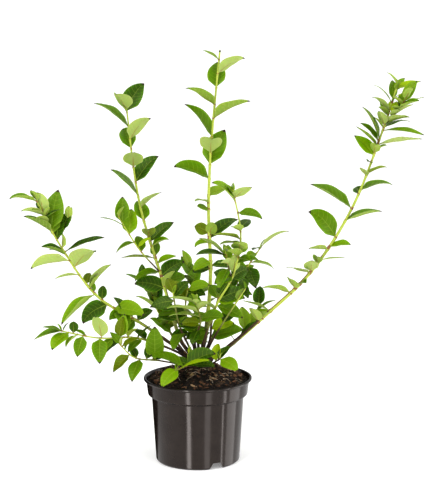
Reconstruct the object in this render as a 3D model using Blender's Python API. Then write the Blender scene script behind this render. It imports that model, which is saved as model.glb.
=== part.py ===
"""A young highbush blueberry bush in a two-litre nursery pot.

Sizes are millimetres until a mesh is made, where MM turns them into Blender's metres.
The origin is the middle of the pot's underside, +Z is up and the front faces -Y.
Every shoot is one curve from the woody crown through a few knees to its tip. Its lower
stretch is a bare cane, and above that it carries sprays: a stem with side twigs and leaves
fused on. Sides of a shoot are named by compass: R is +X, B is +Y, L is -X and F is -Y.
"""

import math
import random
import re
from collections import namedtuple

import bmesh
import bpy
from mathutils import Vector
from mathutils.bvhtree import BVHTree

MM = 0.001
GAP = 0.3  # between solids that touch on the real plant

# ---------------------------------------------------------------- driving sizes: pot, soil, crown
POT_HEIGHT = 134.0
LIP_RADIUS = 85.0
LIP_HEIGHT = 4.0
COLLAR_RADIUS_TOP = 81.0
COLLAR_RADIUS_FOOT = 78.5
COLLAR_HEIGHT = 26.0
COLLAR_STEP = 3.0
BODY_RADIUS_TOP = 72.5
BODY_RADIUS_FOOT = 66.0
FOOT_BEVEL = 2.5
WALL = 1.6
FOOT_RING = 8.0  # width of the ring the pot stands on
FLOOR_RISE = 10.5  # the floor lies this far above the ring's underside
CENTRE_PAD_RADIUS = 14.0  # dished middle of the floor, which stands on the ground too
NOTCH_COUNT = 3  # drainage notches through the foot ring
NOTCH_FIRST = -63.0  # degrees, from +X towards +Y
NOTCH_WIDTH_FOOT = 25.0
NOTCH_WIDTH_TOP = 12.5
POT_SIDES = 40

SOIL_TOP = 148.0  # the mound's flat top, which the crown stands on
SOIL_TOP_RADIUS = 26.0
SOIL_RIM_DROP = 5.0  # soil at the wall lies this far below the lip
SOIL_SIDES = 24

CROWN_CENTRE = Vector((2.0, 6.0, SOIL_TOP + 2.0))
CROWN_RADIUS = 16.0
CROWN_FLARE = 3.5  # root flare at the soil
CROWN_SIDES = 16

# ---------------------------------------------------------------- driving sizes: shoots and leaves
CANE_SIDES = 6
STEM_SIDES = 4
TWIG_SIDES = 3
RING_STEP = 18.0  # between the rings of a limb
STEM_MARGIN = 8.0  # no leaf closer than this to a stem's foot
TIP_MARGIN = 1.5
TWIG_BARE = 0.25  # share of a twig's length below its first leaf
TWIG_SAG = 0.06
TWIG_TAPER = 0.65

LEAF_SHAPE = ((0.0, 0.035), (0.31, 0.5), (0.66, 0.4))  # along, half width as a share of the width
LEAF_WIDTH = 0.56  # of its length
LEAF_KEEL = 0.06  # depth of the midrib under the blade, as a share of the half width
LEAF_DROOP = 38.0  # degrees that a blade bends down along its length
LEAF_THICKNESS = 0.012  # of its length
LEAF_ROOT = 0.2  # share of a blade at its root that may touch its own spray
PLACED_ROOT = 0.4  # the same for a leaf whose place is written
LEAF_CLEAR = 0.35  # kept to other nodes
LEAF_TRIES = 13  # headings tried before a leaf is skipped
LEAF_SWING = 10.0  # degrees between them
LEAF_LIFT = 5.0
LEAF_STRAY = 12.0  # degrees either side of the heading that is written
LEAF_ROLL = 0.45  # radians either way round its own length

COMPASS = "R RBR BR BBR B BBL BL LBL L LFL FL FFL F FFR FR RFR".split()
SIDES = {side: 22.5 * i for i, side in enumerate(COMPASS)}  # degrees from +X towards +Y
RISES = {"": 28.0, "^": 56.0, "-": 2.0, "v": -42.0}  # degrees that a leaf points above level
TURN = 144.0  # degrees from one leaf to the next round a shoot

Spray = namedtuple("Spray", "name start leaves twigs slim", defaults=((), 1.0))
Twig = namedtuple("Twig", "at tip radius leaves")
Shoot = namedtuple("Shoot", "name knees foot_radius tip_radius sprays")
Limb = namedtuple("Limb", "node path start end radius_start radius_end sides")
Leaf = namedtuple("Leaf", "root heading rise length roll slim")
Wanted = namedtuple("Wanted", "at heading rise length face")
Job = namedtuple("Job", "node path first last radii leaves slim rng")

# A leaf is written as its side, its length, its rise and how far its face is turned to the
# front: L58^, FR40@-25, R46@30~40. Leaves run up the shoot, evenly spaced, but one that starts
# with a number sits at that percentage of the leafy stretch: 35:R46@30~40.
SHOOTS = (
    Shoot(
        "far_left",
        ((-30, 4, 177), (-85, -15, 221), (-154, -45, 273), (-207, -75, 358), (-240, -90, 429)),
        2.9,
        1.0,
        (
            Spray(
                "far_left_lower",
                0.26,
                "4:BR34@20~30 8:FL36@-35~40 12:BL34@20 18:LFL40@50~40 24:BR33@45~20 28:FL30@-10~40 "
                "37:FFR46@-30~0 44:RFR52@-8~45 55:LFL50@-32~60 66:B26@45~10 80:LFL70@-40~-10 "
                "83:BL18@60 90:BR28@30 "
                "95:R50@22~-50 100:BBR26@25~20",
            ),
            Spray(
                "far_left_middle",
                0.60,
                "6:L37@-10~-15 32:FR64@32~-20 57:L62@-12~-30 74:L29@20 "
                "78:L41@10~5 86:R66@20~0 100:LBL23@65",
            ),
            Spray(
                "far_left_tip",
                0.79,
                "0:BR38@70~20 15:BL40@50~20 21:LFL52@30~-5 23:BBR64@70~10 42:FL28@25 56:R24@30 "
                "62:LFL38@15~-10 67:FL36@65~-20 72:FL20@15 74:BBL24@25~10 97:LFL45@10~0 99:FFL26@45",
                (Twig(0.0, (-190, -60, 402), 1.2, "18:R33@35~20 34:BBL22@30 70:FR18@40"),),
            ),
        ),
    ),
    Shoot(
        "left",
        ((-28, 34, 186), (-57, 75, 273), (-90, 100, 376), (-103, 115, 443), (-115, 135, 541)),
        3.3,
        1.2,
        (
            Spray(
                "left_lower",
                0.27,
                "2:L50@10~65 4:RFR34@55~-20 8:RBR42@5~50 17:R44@20~60 23:L45@-25~15 33:R32@20~20 "
                "39:L55@0~-8 41:B34@35 53:R30@25~10 59:RBR50@35~25 64:F40@30~0 84:BBL42@45~0 "
                "100:RFR46@35~-10",
                (
                    Twig(
                        0.2,
                        (-125, 30, 385),
                        1.3,
                        "20:BBL34@40~0 32:R27@35~20 44:L34@-30 60:B44@65~0 78:LFL46@22~0 "
                        "86:B42@78~0 100:R22@40",
                    ),
                ),
            ),
            Spray("left_upper", 0.64, "4:L63@45~5 39:RBR58@46~35 78:F58@32~0"),
            Spray(
                "left_tip",
                0.83,
                "0:BBL50@35~20 24:RFR52@45~-30 56:L70@35~12 97:BR58@50~40 100:FFL56@35~0",
            ),
        ),
    ),
    Shoot(
        "centre",
        ((12, 22, 196), (20, 26, 290), (17, 34, 400), (22, 42, 505), (35, 52, 643)),
        3.8,
        1.3,
        (
            Spray(
                "centre_lower",
                0.26,
                "4:BL44@-15~50 8:R44@-5~25 13:FL38@-15~35 36:FL32@-5~10 40:RBR58@30~10 "
                "44:FFR32@45~-40 47:BL34@10~70 76:FL26@15~40 84:FL30@10~0 92:BR40@10~30",
            ),
            Spray("centre_upper", 0.565, "0:L60@20~25 27:BR62@58~25 51:F60@30~0 84:L67@50~25"),
            Spray(
                "centre_tip",
                0.76,
                "0:RFR70@25~-10 20:LFL58@30~-15 45:B50@50~0 66:R50@30~-40 86:L29@30~10",
            ),
        ),
    ),
    Shoot(
        "front_right",
        ((12, -20, 202), (30, -40, 258), (55, -76, 312), (66, -98, 376), (54, -115, 448)),
        2.2,
        1.0,
        (
            Spray(
                "front_right",
                0.47,
                "0:BL36@20~40 4:BR40@15~60 8:FL38@-10~30 12:FFR36@70~0 24:R34@10~20 29:FR26@0~20 "
                "31:FL46@10~0 34:BBR34@20~20 37:F42@30~0 46:FL34@-10~-10 50:LFL48@10~-12 "
                "58:FFL34@20~-10 60:BBR36@15~10 77:RFR40@-10~30 88:LFL50@40~25 92:FR40@30~-20 "
                "95:BL34@10~-30",
                (
                    Twig(
                        0.05,
                        (43, -97, 352),
                        1.2,
                        "23:FL40@-50~0 45:FFL36@10~-20 55:BR30@25 76:L52@35~0 84:LFL50@5~10",
                    ),
                ),
            ),
        ),
    ),
    Shoot(
        "right_inner",
        ((26, 50, 190), (52, 95, 247), (74, 115, 279), (103, 128, 320)),
        2.2,
        1.0,
        (
            Spray(
                "right_inner",
                0.50,
                "4:B40@30 10:R34@-8~40 18:BL38@20 28:FR34@-40 38:BR38@25 49:FR36@-40 52:BL34@10~30 "
                "58:FFL40@-45 61:F46@-50~0 69:R41@-15~0 86:FL24@-5~30 96:FFL30@5 99:R55@30~-20",
            ),
        ),
    ),
    Shoot(
        "far_right",
        ((42, 12, 174), (95, 15, 219), (176, 12, 298), (241, 28, 397), (290, 52, 518), (313, 64, 588)),
        3.5,
        1.3,
        (
            Spray(
                "far_right_lower",
                0.17,
                "0:FFL42@40~10 6:FFR28@30 18:L46@20~0 49:L46@10~-30 56:FFL38@35~20 63:FFR26@15 "
                "80:LFL42@15~-15 82:F40@35~0 93:F34@30 98:R39@5~-10",
            ),
            Spray(
                "far_right_middle",
                0.46,
                "2:LFL32@5~-20 6:RFR36@10 21:L60@45~50 48:R60@15~0 67:L76@30~15 89:B28@15 "
                "95:R53@10~10",
            ),
            Spray(
                "far_right_upper",
                0.70,
                "4:FFL30@30 8:R34@20 40:FFL20@10 58:LBL44@42~40 64:F32@35 72:FFR22@10 "
                "83:LFL50@40~5 87:R72@6~-18 95:L42@45~20 100:L60@62~10",
            ),
            Spray(
                "far_right_tip",
                0.845,
                "0:RFR68@-5~5 6:RBR48@10~0 10:FFL40@40~0 14:RBR44@12~-8 18:FR44@15~-10 "
                "35:BBL34@35 40:LFL40@40~-10 60:L42@45~5 64:FFR30@25 68:B36@55 86:BR30@40 "
                "92:R40@15~30 100:L26@50",
                (
                    Twig(
                        0.12,
                        (327, 34, 574),
                        1.2,
                        "0:FFR30@30~-10 4:BBR36@35~10 8:FR38@20~0 39:RBR50@20~-5 43:FR44@20~20 "
                        "65:FL30@25 69:BR48@42~45 80:FFR34@40~-10 96:BR26@50",
                    ),
                ),
                slim=0.72,
            ),
        ),
    ),
    Shoot(
        "low_left",
        ((-34, -14, 178), (-92, -52, 208), (-150, -90, 217), (-206, -110, 233)),
        2.1,
        0.9,
        (
            Spray(
                "low_left_inner",
                0.33,
                "8:BL34@20 20:FL32@-30 32:BR34@25 49:FL22@-55 58:FR30@35~0 68:LFL46@-45~10 "
                "76:B36@55~10 80:B32@50~10 97:FL30@-45~20",
            ),
            Spray(
                "low_left_tip",
                0.68,
                "2:FFL44@62~0 6:F44@-50~0 40:LBL20@15 47:FFL34@-60~30 59:FL30@-30~-20 70:B26@30 "
                "80:FL42@-30~10 96:LFL32@15~10 100:L43@-20~10",
            ),
        ),
    ),
    Shoot(
        "low_front_left",
        ((-28, -24, 160), (-60, -42, 170), (-96, -64, 180), (-118, -84, 206)),
        1.6,
        0.9,
        (
            Spray(
                "low_front_left",
                0.42,
                "2:B54@84~0 8:BR32@10~30 22:RBR32@12~40 37:FFL44@-40~0 45:BBL26@25~20 "
                "65:LFL37@-45~30 "
                "93:R30@25~20 100:BL26@35~20",
            ),
        ),
    ),
    Shoot(
        "front",
        ((3, -26, 158), (-10, -50, 164), (-34, -76, 163)),
        1.7,
        0.9,
        (
            Spray(
                "front",
                0.40,
                "0:R36@-5~40 14:L34@10~40 43:R52@25~40 50:LBL58@8~10 76:R54@8~5 "
                "83:FL44@-30~30",
            ),
        ),
    ),
    Shoot(
        "front_short",
        ((22, -20, 160), (36, -38, 172)),
        1.5,
        0.9,
        (Spray("front_short", 0.45, "10:BBR30@60 60:BR30@30 98:FR40@-20~30"),),
    ),
    Shoot(
        "back_left",
        ((-26, 40, 168), (-58, 84, 208), (-92, 128, 262)),
        2.4,
        1.0,
        (Spray("back_left", 0.33, "L44 BR40 F36 BL46^ R40 L44 B42^ FR34 BL40 R34 L38 B30^"),),
    ),
    Shoot(
        "back",
        ((0, 44, 178), (-6, 92, 222), (-14, 142, 282)),
        2.6,
        1.0,
        (Spray("back", 0.34, "R44 L42 B46^ FR36 BL44 R44 L38 BR42^ FL34 B42 R34 L32^"),),
    ),
    Shoot(
        "back_right",
        ((38, 36, 166), (74, 74, 190), (104, 118, 232)),
        2.2,
        1.0,
        (Spray("back_right", 0.36, "L38 R42 B42^ BR44 L36 R40 B38^ L30^"),),
    ),
    Shoot("pruned", ((-13, -19, 175),), 3.4, 2.9, ()),  # the stub of a cane that was cut off
)

# Leafy shoots in front of the canes, which bear leaves almost from their feet.
SHORT_SHOOTS = (
    Shoot(
        "heart_left",
        ((-17, -6, 191), (-29, -10, 220), (-35, -14, 252), (-38, -16, 273)),
        1.9,
        1.0,
        (
            Spray(
                "heart_left",
                0.0,
                "18:RFR32@-10~40 30:FFL42@-28 49:RFR32@-5~40 53:L34@5~40 66:LBL30@-15~30 72:L42@5~35 "
                "86:L38@-15~50 "
                "91:BR40@35~20 97:BBL36@35~0",
            ),
        ),
    ),
    Shoot(
        "heart_front",
        ((-4, -14, 196), (5, -30, 228), (2, -44, 249), (-2, -52, 268)),
        1.6,
        1.0,
        (
            Spray(
                "heart_front",
                0.0,
                "16:RBR32@5~45 30:L40@15~50 38:FFL30@-40 42:L34@0~50 53:L30@-5~55 61:RFR48@0~40 "
                "67:L52@0~-5 77:LFL58@10~-10 83:FR30@30~-15 88:FFL28@35~-10 94:LFL50@15~-15",
            ),
        ),
    ),
    Shoot(
        "heart_middle",
        ((-9, 10, 188), (-16, 10, 215), (-19, 8, 248), (-15, 4, 276)),
        1.9,
        1.0,
        (
            Spray(
                "heart_middle",
                0.0,
                "20:LFL32@-5~40 28:FFR34@-30 36:R30@25~30 49:L30@15~50 58:L34@0~50 65:R34@5~40 76:BBL38@40~10 "
                "80:LBL44@35~40 "
                "91:R30@-5~60 97:RFR40@15~35",
            ),
        ),
    ),
    Shoot(
        "heart_right",
        ((19, 4, 192), (22, -6, 223), (29, -10, 250), (33, -12, 266)),
        1.9,
        1.0,
        (
            Spray(
                "heart_right",
                0.0,
                "10:FL32@-20 19:RFR56@10~50 36:RFR38@5~45 40:FFR26@50 52:L32@25~30 75:LFL32@30~-10 "
                "83:RFR46@-36~55 88:R46@10~35 92:RBR50@10~50 95:BBL34@30~20 99:BBR36@30~20",
            ),
        ),
    ),
)

# More short shoots stand round the back of the crown, each a spray of its own.
HEART_COUNT = 3
HEART_TURN = 70.0
HEART_FIRST = -8.0  # degrees, round the back from here
HEART_LEAN = (30.0, 52.0)  # degrees from upright, the first and the last
HEART_REACH = (138.0, 96.0)  # length of the first and the last
HEART_RADIUS = (1.9, 0.9)
HEART_LEAVES = (6, 5)
HEART_LEAF = (34.0, 44.0)
HEART_BARE = 0.15
HEART_SEED = 7
HEART_SWING = 8.0  # degrees, for a heart shoot whose place is taken
HEART_TRIES = 24

SEED = 41


# ---------------------------------------------------------------- curves and limbs
def curve_through(points, steps):
    """Evenly counted points on a smooth curve through the given ones."""
    points = [Vector(p) for p in points]
    padded = [2 * points[0] - points[1], *points, 2 * points[-1] - points[-2]]
    out = []
    for before, a, b, after in zip(padded, padded[1:], padded[2:], padded[3:]):
        span = (b - a).length
        tangent_a = (b - before) * span / ((b - a).length + (a - before).length)
        tangent_b = (after - a) * span / ((b - a).length + (after - b).length)
        for i in range(steps):
            t = i / steps
            out.append(
                a * (2 * t**3 - 3 * t**2 + 1)
                + tangent_a * (t**3 - 2 * t**2 + t)
                + b * (3 * t**2 - 2 * t**3)
                + tangent_b * (t**3 - t**2)
            )
    out.append(points[-1])
    return out


class Path:
    """A curve that is read by the length along it."""

    def __init__(self, points, steps=12):
        self.points = curve_through(points, steps)
        self.marks = [0.0]
        for a, b in zip(self.points, self.points[1:]):
            self.marks.append(self.marks[-1] + (b - a).length)
        self.length = self.marks[-1]

    def at(self, s):
        s = min(max(s, 0.0), self.length)
        for i in range(1, len(self.marks)):
            if s <= self.marks[i] or i == len(self.marks) - 1:
                share = (s - self.marks[i - 1]) / (self.marks[i] - self.marks[i - 1])
                return self.points[i - 1].lerp(self.points[i], share)

    def along(self, s):
        return (self.at(s + 1.0) - self.at(s - 1.0)).normalized()


def limb_mesh(limb, swell=0.0):
    """Vertices and faces of one closed tapering limb."""
    span = limb.end - limb.start
    count = max(2, round(span / RING_STEP) + 1)
    verts = []
    side = limb.path.along(limb.start).orthogonal().normalized()
    for i in range(count):
        share = i / (count - 1)
        middle = limb.path.at(limb.start + span * share)
        way = limb.path.along(limb.start + span * share)
        side = (side - way * side.dot(way)).normalized()
        up = way.cross(side)
        radius = limb.radius_start + (limb.radius_end - limb.radius_start) * share + swell
        for k in range(limb.sides):
            turn = 2 * math.pi * k / limb.sides
            verts.append(middle + (side * math.cos(turn) + up * math.sin(turn)) * radius)
    return verts, capped_rings(count, limb.sides, tip=False)


def capped_rings(count, sides, tip):
    """Triangles that join rings of vertices into a closed body, whose last vertex may be a tip."""
    faces = [(0, k + 1, k) for k in range(1, sides - 1)]
    for i in range(count - 1):
        for k in range(sides):
            a = i * sides + k
            b = i * sides + (k + 1) % sides
            faces += [(a, b, b + sides), (a, b + sides, a + sides)]
    last = (count - 1) * sides
    if tip:
        faces += [(last + k, last + (k + 1) % sides, last + sides) for k in range(sides)]
    else:
        faces += [(last, last + k, last + k + 1) for k in range(1, sides - 1)]
    return faces


# ---------------------------------------------------------------- leaves
def read_leaves(text):
    """What a spray's text asks for, leaf by leaf. at and face are None where it is silent."""
    wanted = []
    pattern = r"(?:(\d+):)?([BFLR]+)(\d+)(@-?\d+|[\^v-]?)(~-?\d+)?"
    for at, side, length, rise, face in re.findall(pattern, text):
        angle = float(rise[1:]) if rise[:1] == "@" else RISES[rise]
        turned_by = float(face[1:]) if face else None
        place = int(at) / 100 if at else None
        wanted.append(Wanted(place, SIDES[side], angle, float(length), turned_by))
    return wanted


def leaf_mesh(leaf, swell=0.0, shift=0.0, first=0.0):
    """Vertices and faces of a drooping blade with a keel under its midrib. swell widens and
    lengthens it, shift moves it along its normal, and first leaves out that share at the root."""
    root, heading, rise, length, roll, slim = leaf
    droop = math.radians(LEAF_DROOP)
    turn = math.radians(heading)
    flat = Vector((math.cos(turn), math.sin(turn), 0.0))
    across_level = Vector((-math.sin(turn), math.cos(turn), 0.0))
    verts = []
    width = LEAF_WIDTH * slim * length
    for share, half in LEAF_SHAPE:
        if share < first:
            half += (LEAF_SHAPE[1][1] - half) * min(1.0, first / LEAF_SHAPE[1][0])
            share = min(first, LEAF_SHAPE[1][0] - 0.01)
        middle, upright = blade_point(share, flat, math.radians(rise), droop, length + swell)
        across = across_level * math.cos(roll) + upright * math.sin(roll)
        normal = upright * math.cos(roll) - across_level * math.sin(roll)
        reach = half * width + swell
        keel = LEAF_KEEL * reach + LEAF_THICKNESS * length
        top = root + middle + normal * shift
        verts += [top - across * reach, top - normal * keel, top + across * reach]
    tip, _ = blade_point(1.0, flat, math.radians(rise), droop, length + swell)
    verts.append(root + tip)
    return verts, capped_rings(len(LEAF_SHAPE), 3, tip=True)


def guard_mesh(leaf):
    """The space a leaf takes up with its clearance: the leaf, grown, at three heights."""
    verts = []
    faces = []
    for shift in (-LEAF_CLEAR, 0.0, LEAF_CLEAR):
        more_verts, more_faces = leaf_mesh(leaf, swell=LEAF_CLEAR, shift=shift)
        faces += [tuple(k + len(verts) for k in face) for face in more_faces]
        verts += more_verts
    return verts, faces


def blade_point(share, flat, rise, droop, length):
    """A point on a midrib that bends down as an arc, and the blade's upward normal there."""
    lift = rise + droop / 2
    radius = length / droop
    bend = droop * share
    run = radius * (math.sin(lift) - math.sin(lift - bend))
    climb = radius * (math.cos(lift - bend) - math.cos(lift))
    now = lift - bend
    return flat * run + Vector((0, 0, climb)), Vector((0, 0, math.cos(now))) - flat * math.sin(now)


# ---------------------------------------------------------------- the plant's plan
class Shape:
    """Vertices and faces, with the tree that tells what they touch."""

    def __init__(self, verts, faces, node):
        self.node = node
        self.low = Vector([min(v[k] for v in verts) for k in range(3)])
        self.high = Vector([max(v[k] for v in verts) for k in range(3)])
        self.tree = BVHTree.FromPolygons(verts, faces, epsilon=0.0)

    def near(self, other):
        return all(self.low[k] <= other.high[k] and other.low[k] <= self.high[k] for k in range(3))

    def touches(self, other):
        return self.near(other) and bool(self.tree.overlap(other.tree))


def crown_point(toward):
    """Where a limb that heads for a point leaves the crown, clear of it."""
    way = (Vector(toward) - CROWN_CENTRE).normalized()
    return CROWN_CENTRE + way * (CROWN_RADIUS + GAP)


def place_leaf(shapes, own, path, s, radius, wanted, slim, rng):
    """The first heading near the wanted one where the leaf clears every other piece, or None."""
    stray = rng.uniform(-LEAF_STRAY, LEAF_STRAY), rng.uniform(-LEAF_STRAY, LEAF_STRAY) / 2
    roll = rng.uniform(-LEAF_ROLL, LEAF_ROLL)
    heading = wanted.heading
    rise = wanted.rise
    bare = PLACED_ROOT
    if wanted.at is None:
        bare = LEAF_ROOT
        heading += stray[0]
        rise += stray[1]
    if wanted.face is not None:
        roll = math.copysign(1.0, math.cos(math.radians(heading))) * math.radians(wanted.face)
    for attempt in range(LEAF_TRIES):
        step = (attempt + 1) // 2
        way = heading + LEAF_SWING * step * (1 if attempt % 2 else -1)
        turn = math.radians(way)
        root = path.at(s) - Vector((math.cos(turn), math.sin(turn), 0)) * radius * 0.25
        leaf = Leaf(root, way, rise + LEAF_LIFT * step, wanted.length + radius, roll, slim)
        guard = Shape(*guard_mesh(leaf), own)
        blade = Shape(*leaf_mesh(leaf, first=bare), own)
        near = [shape for shape in shapes if guard.near(shape)]
        if not any((blade if shape.node == own else guard).touches(shape) for shape in near):
            return leaf
    return None


class Plan:
    """Every limb and leaf of the bush, laid out so that no two nodes touch."""

    def __init__(self):
        self.limbs = []
        self.leaves = []
        self.shapes = []
        self.skipped = []

    def add_limb(self, limb):
        self.shapes.append(Shape(*limb_mesh(limb), limb.node))
        self.limbs.append(limb)

    def add_leaf(self, node, leaf):
        self.shapes.append(Shape(*leaf_mesh(leaf), node))
        self.leaves.append((node, leaf))


def radius_at(shoot, path, s):
    return shoot.foot_radius + (shoot.tip_radius - shoot.foot_radius) * (s / path.length) ** 0.8


def heart_shoot(number, swing):
    """A short shoot at the back of the crown: upright first and leaning last."""
    rng = random.Random(HEART_SEED + number)
    share = number / (HEART_COUNT - 1)
    turn = math.radians(HEART_FIRST + HEART_TURN * number + swing)
    lean = math.radians(HEART_LEAN[0] + (HEART_LEAN[1] - HEART_LEAN[0]) * share)
    reach = HEART_REACH[0] + (HEART_REACH[1] - HEART_REACH[0]) * share
    out = Vector((math.cos(turn), math.sin(turn), 0))
    foot_way = out * math.sin(lean) + Vector((0, 0, math.cos(lean)))
    knee = CROWN_CENTRE + foot_way * (CROWN_RADIUS + 0.35 * reach)
    tip = CROWN_CENTRE + foot_way * (CROWN_RADIUS + reach) + out * 0.06 * reach
    count = round(HEART_LEAVES[0] + (HEART_LEAVES[1] - HEART_LEAVES[0]) * share)
    start = rng.uniform(0, 360)
    leaves = []
    for k in range(count):
        side = min(SIDES, key=lambda name: abs((SIDES[name] - start - TURN * k + 180) % 360 - 180))
        length = round(rng.uniform(*HEART_LEAF) * (1.0 if k < count - 2 else 0.7))
        leaves.append(f"{side}{length}{rng.choice(['', '', '-', '^'])}")
    name = f"heart_back_{number + 1}"
    return Shoot(name, (tuple(knee), tuple(tip)), *HEART_RADIUS, (Spray(name, 0.0, " ".join(leaves)),))


def shoot_path(shoot):
    return Path([crown_point(shoot.knees[0]), *shoot.knees])


def clear_heart(plan, number):
    """The heart shoot, swung round the crown until its stem clears every limb."""
    for attempt in range(HEART_TRIES):
        swing = HEART_SWING * ((attempt + 1) // 2) * (1 if attempt % 2 else -1)
        shoot = heart_shoot(number, swing)
        path = shoot_path(shoot)
        radii = shoot.foot_radius, shoot.foot_radius
        limb = Limb(shoot.name, path, 0.0, path.length, *radii, STEM_SIDES)
        guard = Shape(*limb_mesh(limb, swell=2 * GAP), shoot.name)
        if not any(guard.touches(other) for other in plan.shapes):
            return shoot
    return None


def grow(plan, shoot, rng, bare_cane):
    """Adds a shoot's cane and the stems and twigs of its sprays. Returns the leaves to place."""
    path = shoot_path(shoot)
    jobs = []
    starts = [spray.start * path.length for spray in shoot.sprays] + [path.length]
    if bare_cane:
        radii = radius_at(shoot, path, 0.0), radius_at(shoot, path, starts[0])
        plan.add_limb(Limb(f"cane_{shoot.name}", path, 0.0, starts[0], *radii, CANE_SIDES))
    for spray, start, end in zip(shoot.sprays, starts, starts[1:]):
        radii = radius_at(shoot, path, start), radius_at(shoot, path, end)
        plan.add_limb(Limb(spray.name, path, start + GAP if start else 0.0, end, *radii, STEM_SIDES))
        first = start + STEM_MARGIN if bare_cane else HEART_BARE * path.length
        last = end - (TIP_MARGIN if end == path.length else STEM_MARGIN)
        jobs.append(Job(spray.name, path, first, last, radii, read_leaves(spray.leaves), spray.slim, rng))
        for twig in spray.twigs:
            root = path.at(start + twig.at * (end - start) + STEM_MARGIN)
            tip = Vector(twig.tip)
            middle = root.lerp(tip, 0.5) - Vector((0, 0, TWIG_SAG * (tip - root).length))
            side = Path([root, middle, tip])
            radii = twig.radius, twig.radius * TWIG_TAPER
            plan.add_limb(Limb(spray.name, side, 0.0, side.length, *radii, TWIG_SIDES))
            first = TWIG_BARE * side.length
            last = side.length - TIP_MARGIN
            jobs.append(Job(spray.name, side, first, last, radii, read_leaves(twig.leaves), spray.slim, rng))
    return jobs


def lay_out():
    """Limbs first, then leaves, so that no leaf takes a limb's place."""
    plan = Plan()
    jobs = []
    for number, shoot in enumerate(SHOOTS):
        jobs += grow(plan, shoot, random.Random(SEED + number), bare_cane=True)
    for number, shoot in enumerate(SHORT_SHOOTS):
        jobs += grow(plan, shoot, random.Random(SEED + len(SHOOTS) + number), bare_cane=False)
    for number in range(HEART_COUNT):
        shoot = clear_heart(plan, number)
        if shoot is not None:
            jobs += grow(plan, shoot, random.Random(2 * SEED + number), bare_cane=False)
    for job in jobs:
        for i, wanted in enumerate(job.leaves):
            share = i / max(1, len(job.leaves) - 1) if wanted.at is None else wanted.at
            s = job.first + (job.last - job.first) * share
            radius = job.radii[0] + (job.radii[1] - job.radii[0]) * share
            leaf = place_leaf(plan.shapes, job.node, job.path, s, radius, wanted, job.slim, job.rng)
            if leaf is None:
                plan.skipped.append((job.node, i + 1))
            else:
                plan.add_leaf(job.node, leaf)
    return plan


# ---------------------------------------------------------------- Blender objects
def material(name, color, roughness, metallic=0.0):
    made = bpy.data.materials.new(name)
    made.use_nodes = True
    shader = made.node_tree.nodes["Principled BSDF"]
    shader.inputs["Base Color"].default_value = (*color, 1.0)
    shader.inputs["Roughness"].default_value = roughness
    shader.inputs["Metallic"].default_value = metallic
    made.diffuse_color = (*color, 1.0)
    return made


def new_object(name, verts, faces, surface, parent=None):
    mesh = bpy.data.meshes.new(name)
    mesh.from_pydata([Vector(v) * MM for v in verts], [], faces)
    mesh.materials.append(surface)
    made = bpy.data.objects.new(name, mesh)
    bpy.context.scene.collection.objects.link(made)
    made.parent = parent
    return made


def turned(name, profile, sides, surface, parent):
    """A body of revolution. The profile runs from the axis up its outer side to the axis."""
    shape = bmesh.new()
    verts = [shape.verts.new((r * MM, 0, z * MM)) for r, z in profile]
    edges = [shape.edges.new(pair) for pair in zip(verts, verts[1:])]
    bmesh.ops.spin(
        shape,
        geom=verts + edges,
        cent=(0, 0, 0),
        axis=(0, 0, 1),
        angle=2 * math.pi,
        steps=sides,
        use_merge=True,
    )
    bmesh.ops.remove_doubles(shape, verts=shape.verts, dist=0.01 * MM)
    bmesh.ops.recalc_face_normals(shape, faces=shape.faces)
    mesh = bpy.data.meshes.new(name)
    shape.to_mesh(mesh)
    shape.free()
    mesh.materials.append(surface)
    mesh.shade_smooth()
    mesh.set_sharp_from_angle(angle=math.radians(35))
    made = bpy.data.objects.new(name, mesh)
    bpy.context.scene.collection.objects.link(made)
    made.parent = parent
    return made


def pot_profile():
    """(radius, height) up the outside, over the lip and down the inside of the pot."""
    under_lip = POT_HEIGHT - LIP_HEIGHT
    collar_foot = POT_HEIGHT - COLLAR_HEIGHT
    floor_top = FLOOR_RISE + WALL
    ring_inner = BODY_RADIUS_FOOT - FOOT_RING
    return (
        (0.0, 0.0),
        (CENTRE_PAD_RADIUS, 0.0),
        (CENTRE_PAD_RADIUS + 6, FLOOR_RISE),
        (ring_inner - 2, FLOOR_RISE),
        (ring_inner, 0.0),
        (BODY_RADIUS_FOOT - FOOT_BEVEL, 0.0),
        (BODY_RADIUS_FOOT, FOOT_BEVEL),
        (BODY_RADIUS_TOP, collar_foot - COLLAR_STEP),
        (COLLAR_RADIUS_FOOT, collar_foot),
        (COLLAR_RADIUS_TOP, under_lip - 1),
        (LIP_RADIUS, under_lip + 0.6),
        (LIP_RADIUS, POT_HEIGHT - 0.8),
        (LIP_RADIUS - 1, POT_HEIGHT),
        (COLLAR_RADIUS_TOP + 0.4, POT_HEIGHT - 0.6),
        (COLLAR_RADIUS_TOP - WALL, under_lip - 1),
        (COLLAR_RADIUS_FOOT - WALL, collar_foot + 1),
        (BODY_RADIUS_TOP - WALL, collar_foot - COLLAR_STEP + 1),
        (BODY_RADIUS_FOOT - WALL + 0.6, floor_top + 1),
        (BODY_RADIUS_FOOT - WALL - 0.6, floor_top),
        (CENTRE_PAD_RADIUS + 5, floor_top),
        (CENTRE_PAD_RADIUS, WALL),
        (0.0, WALL),
    )


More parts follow.
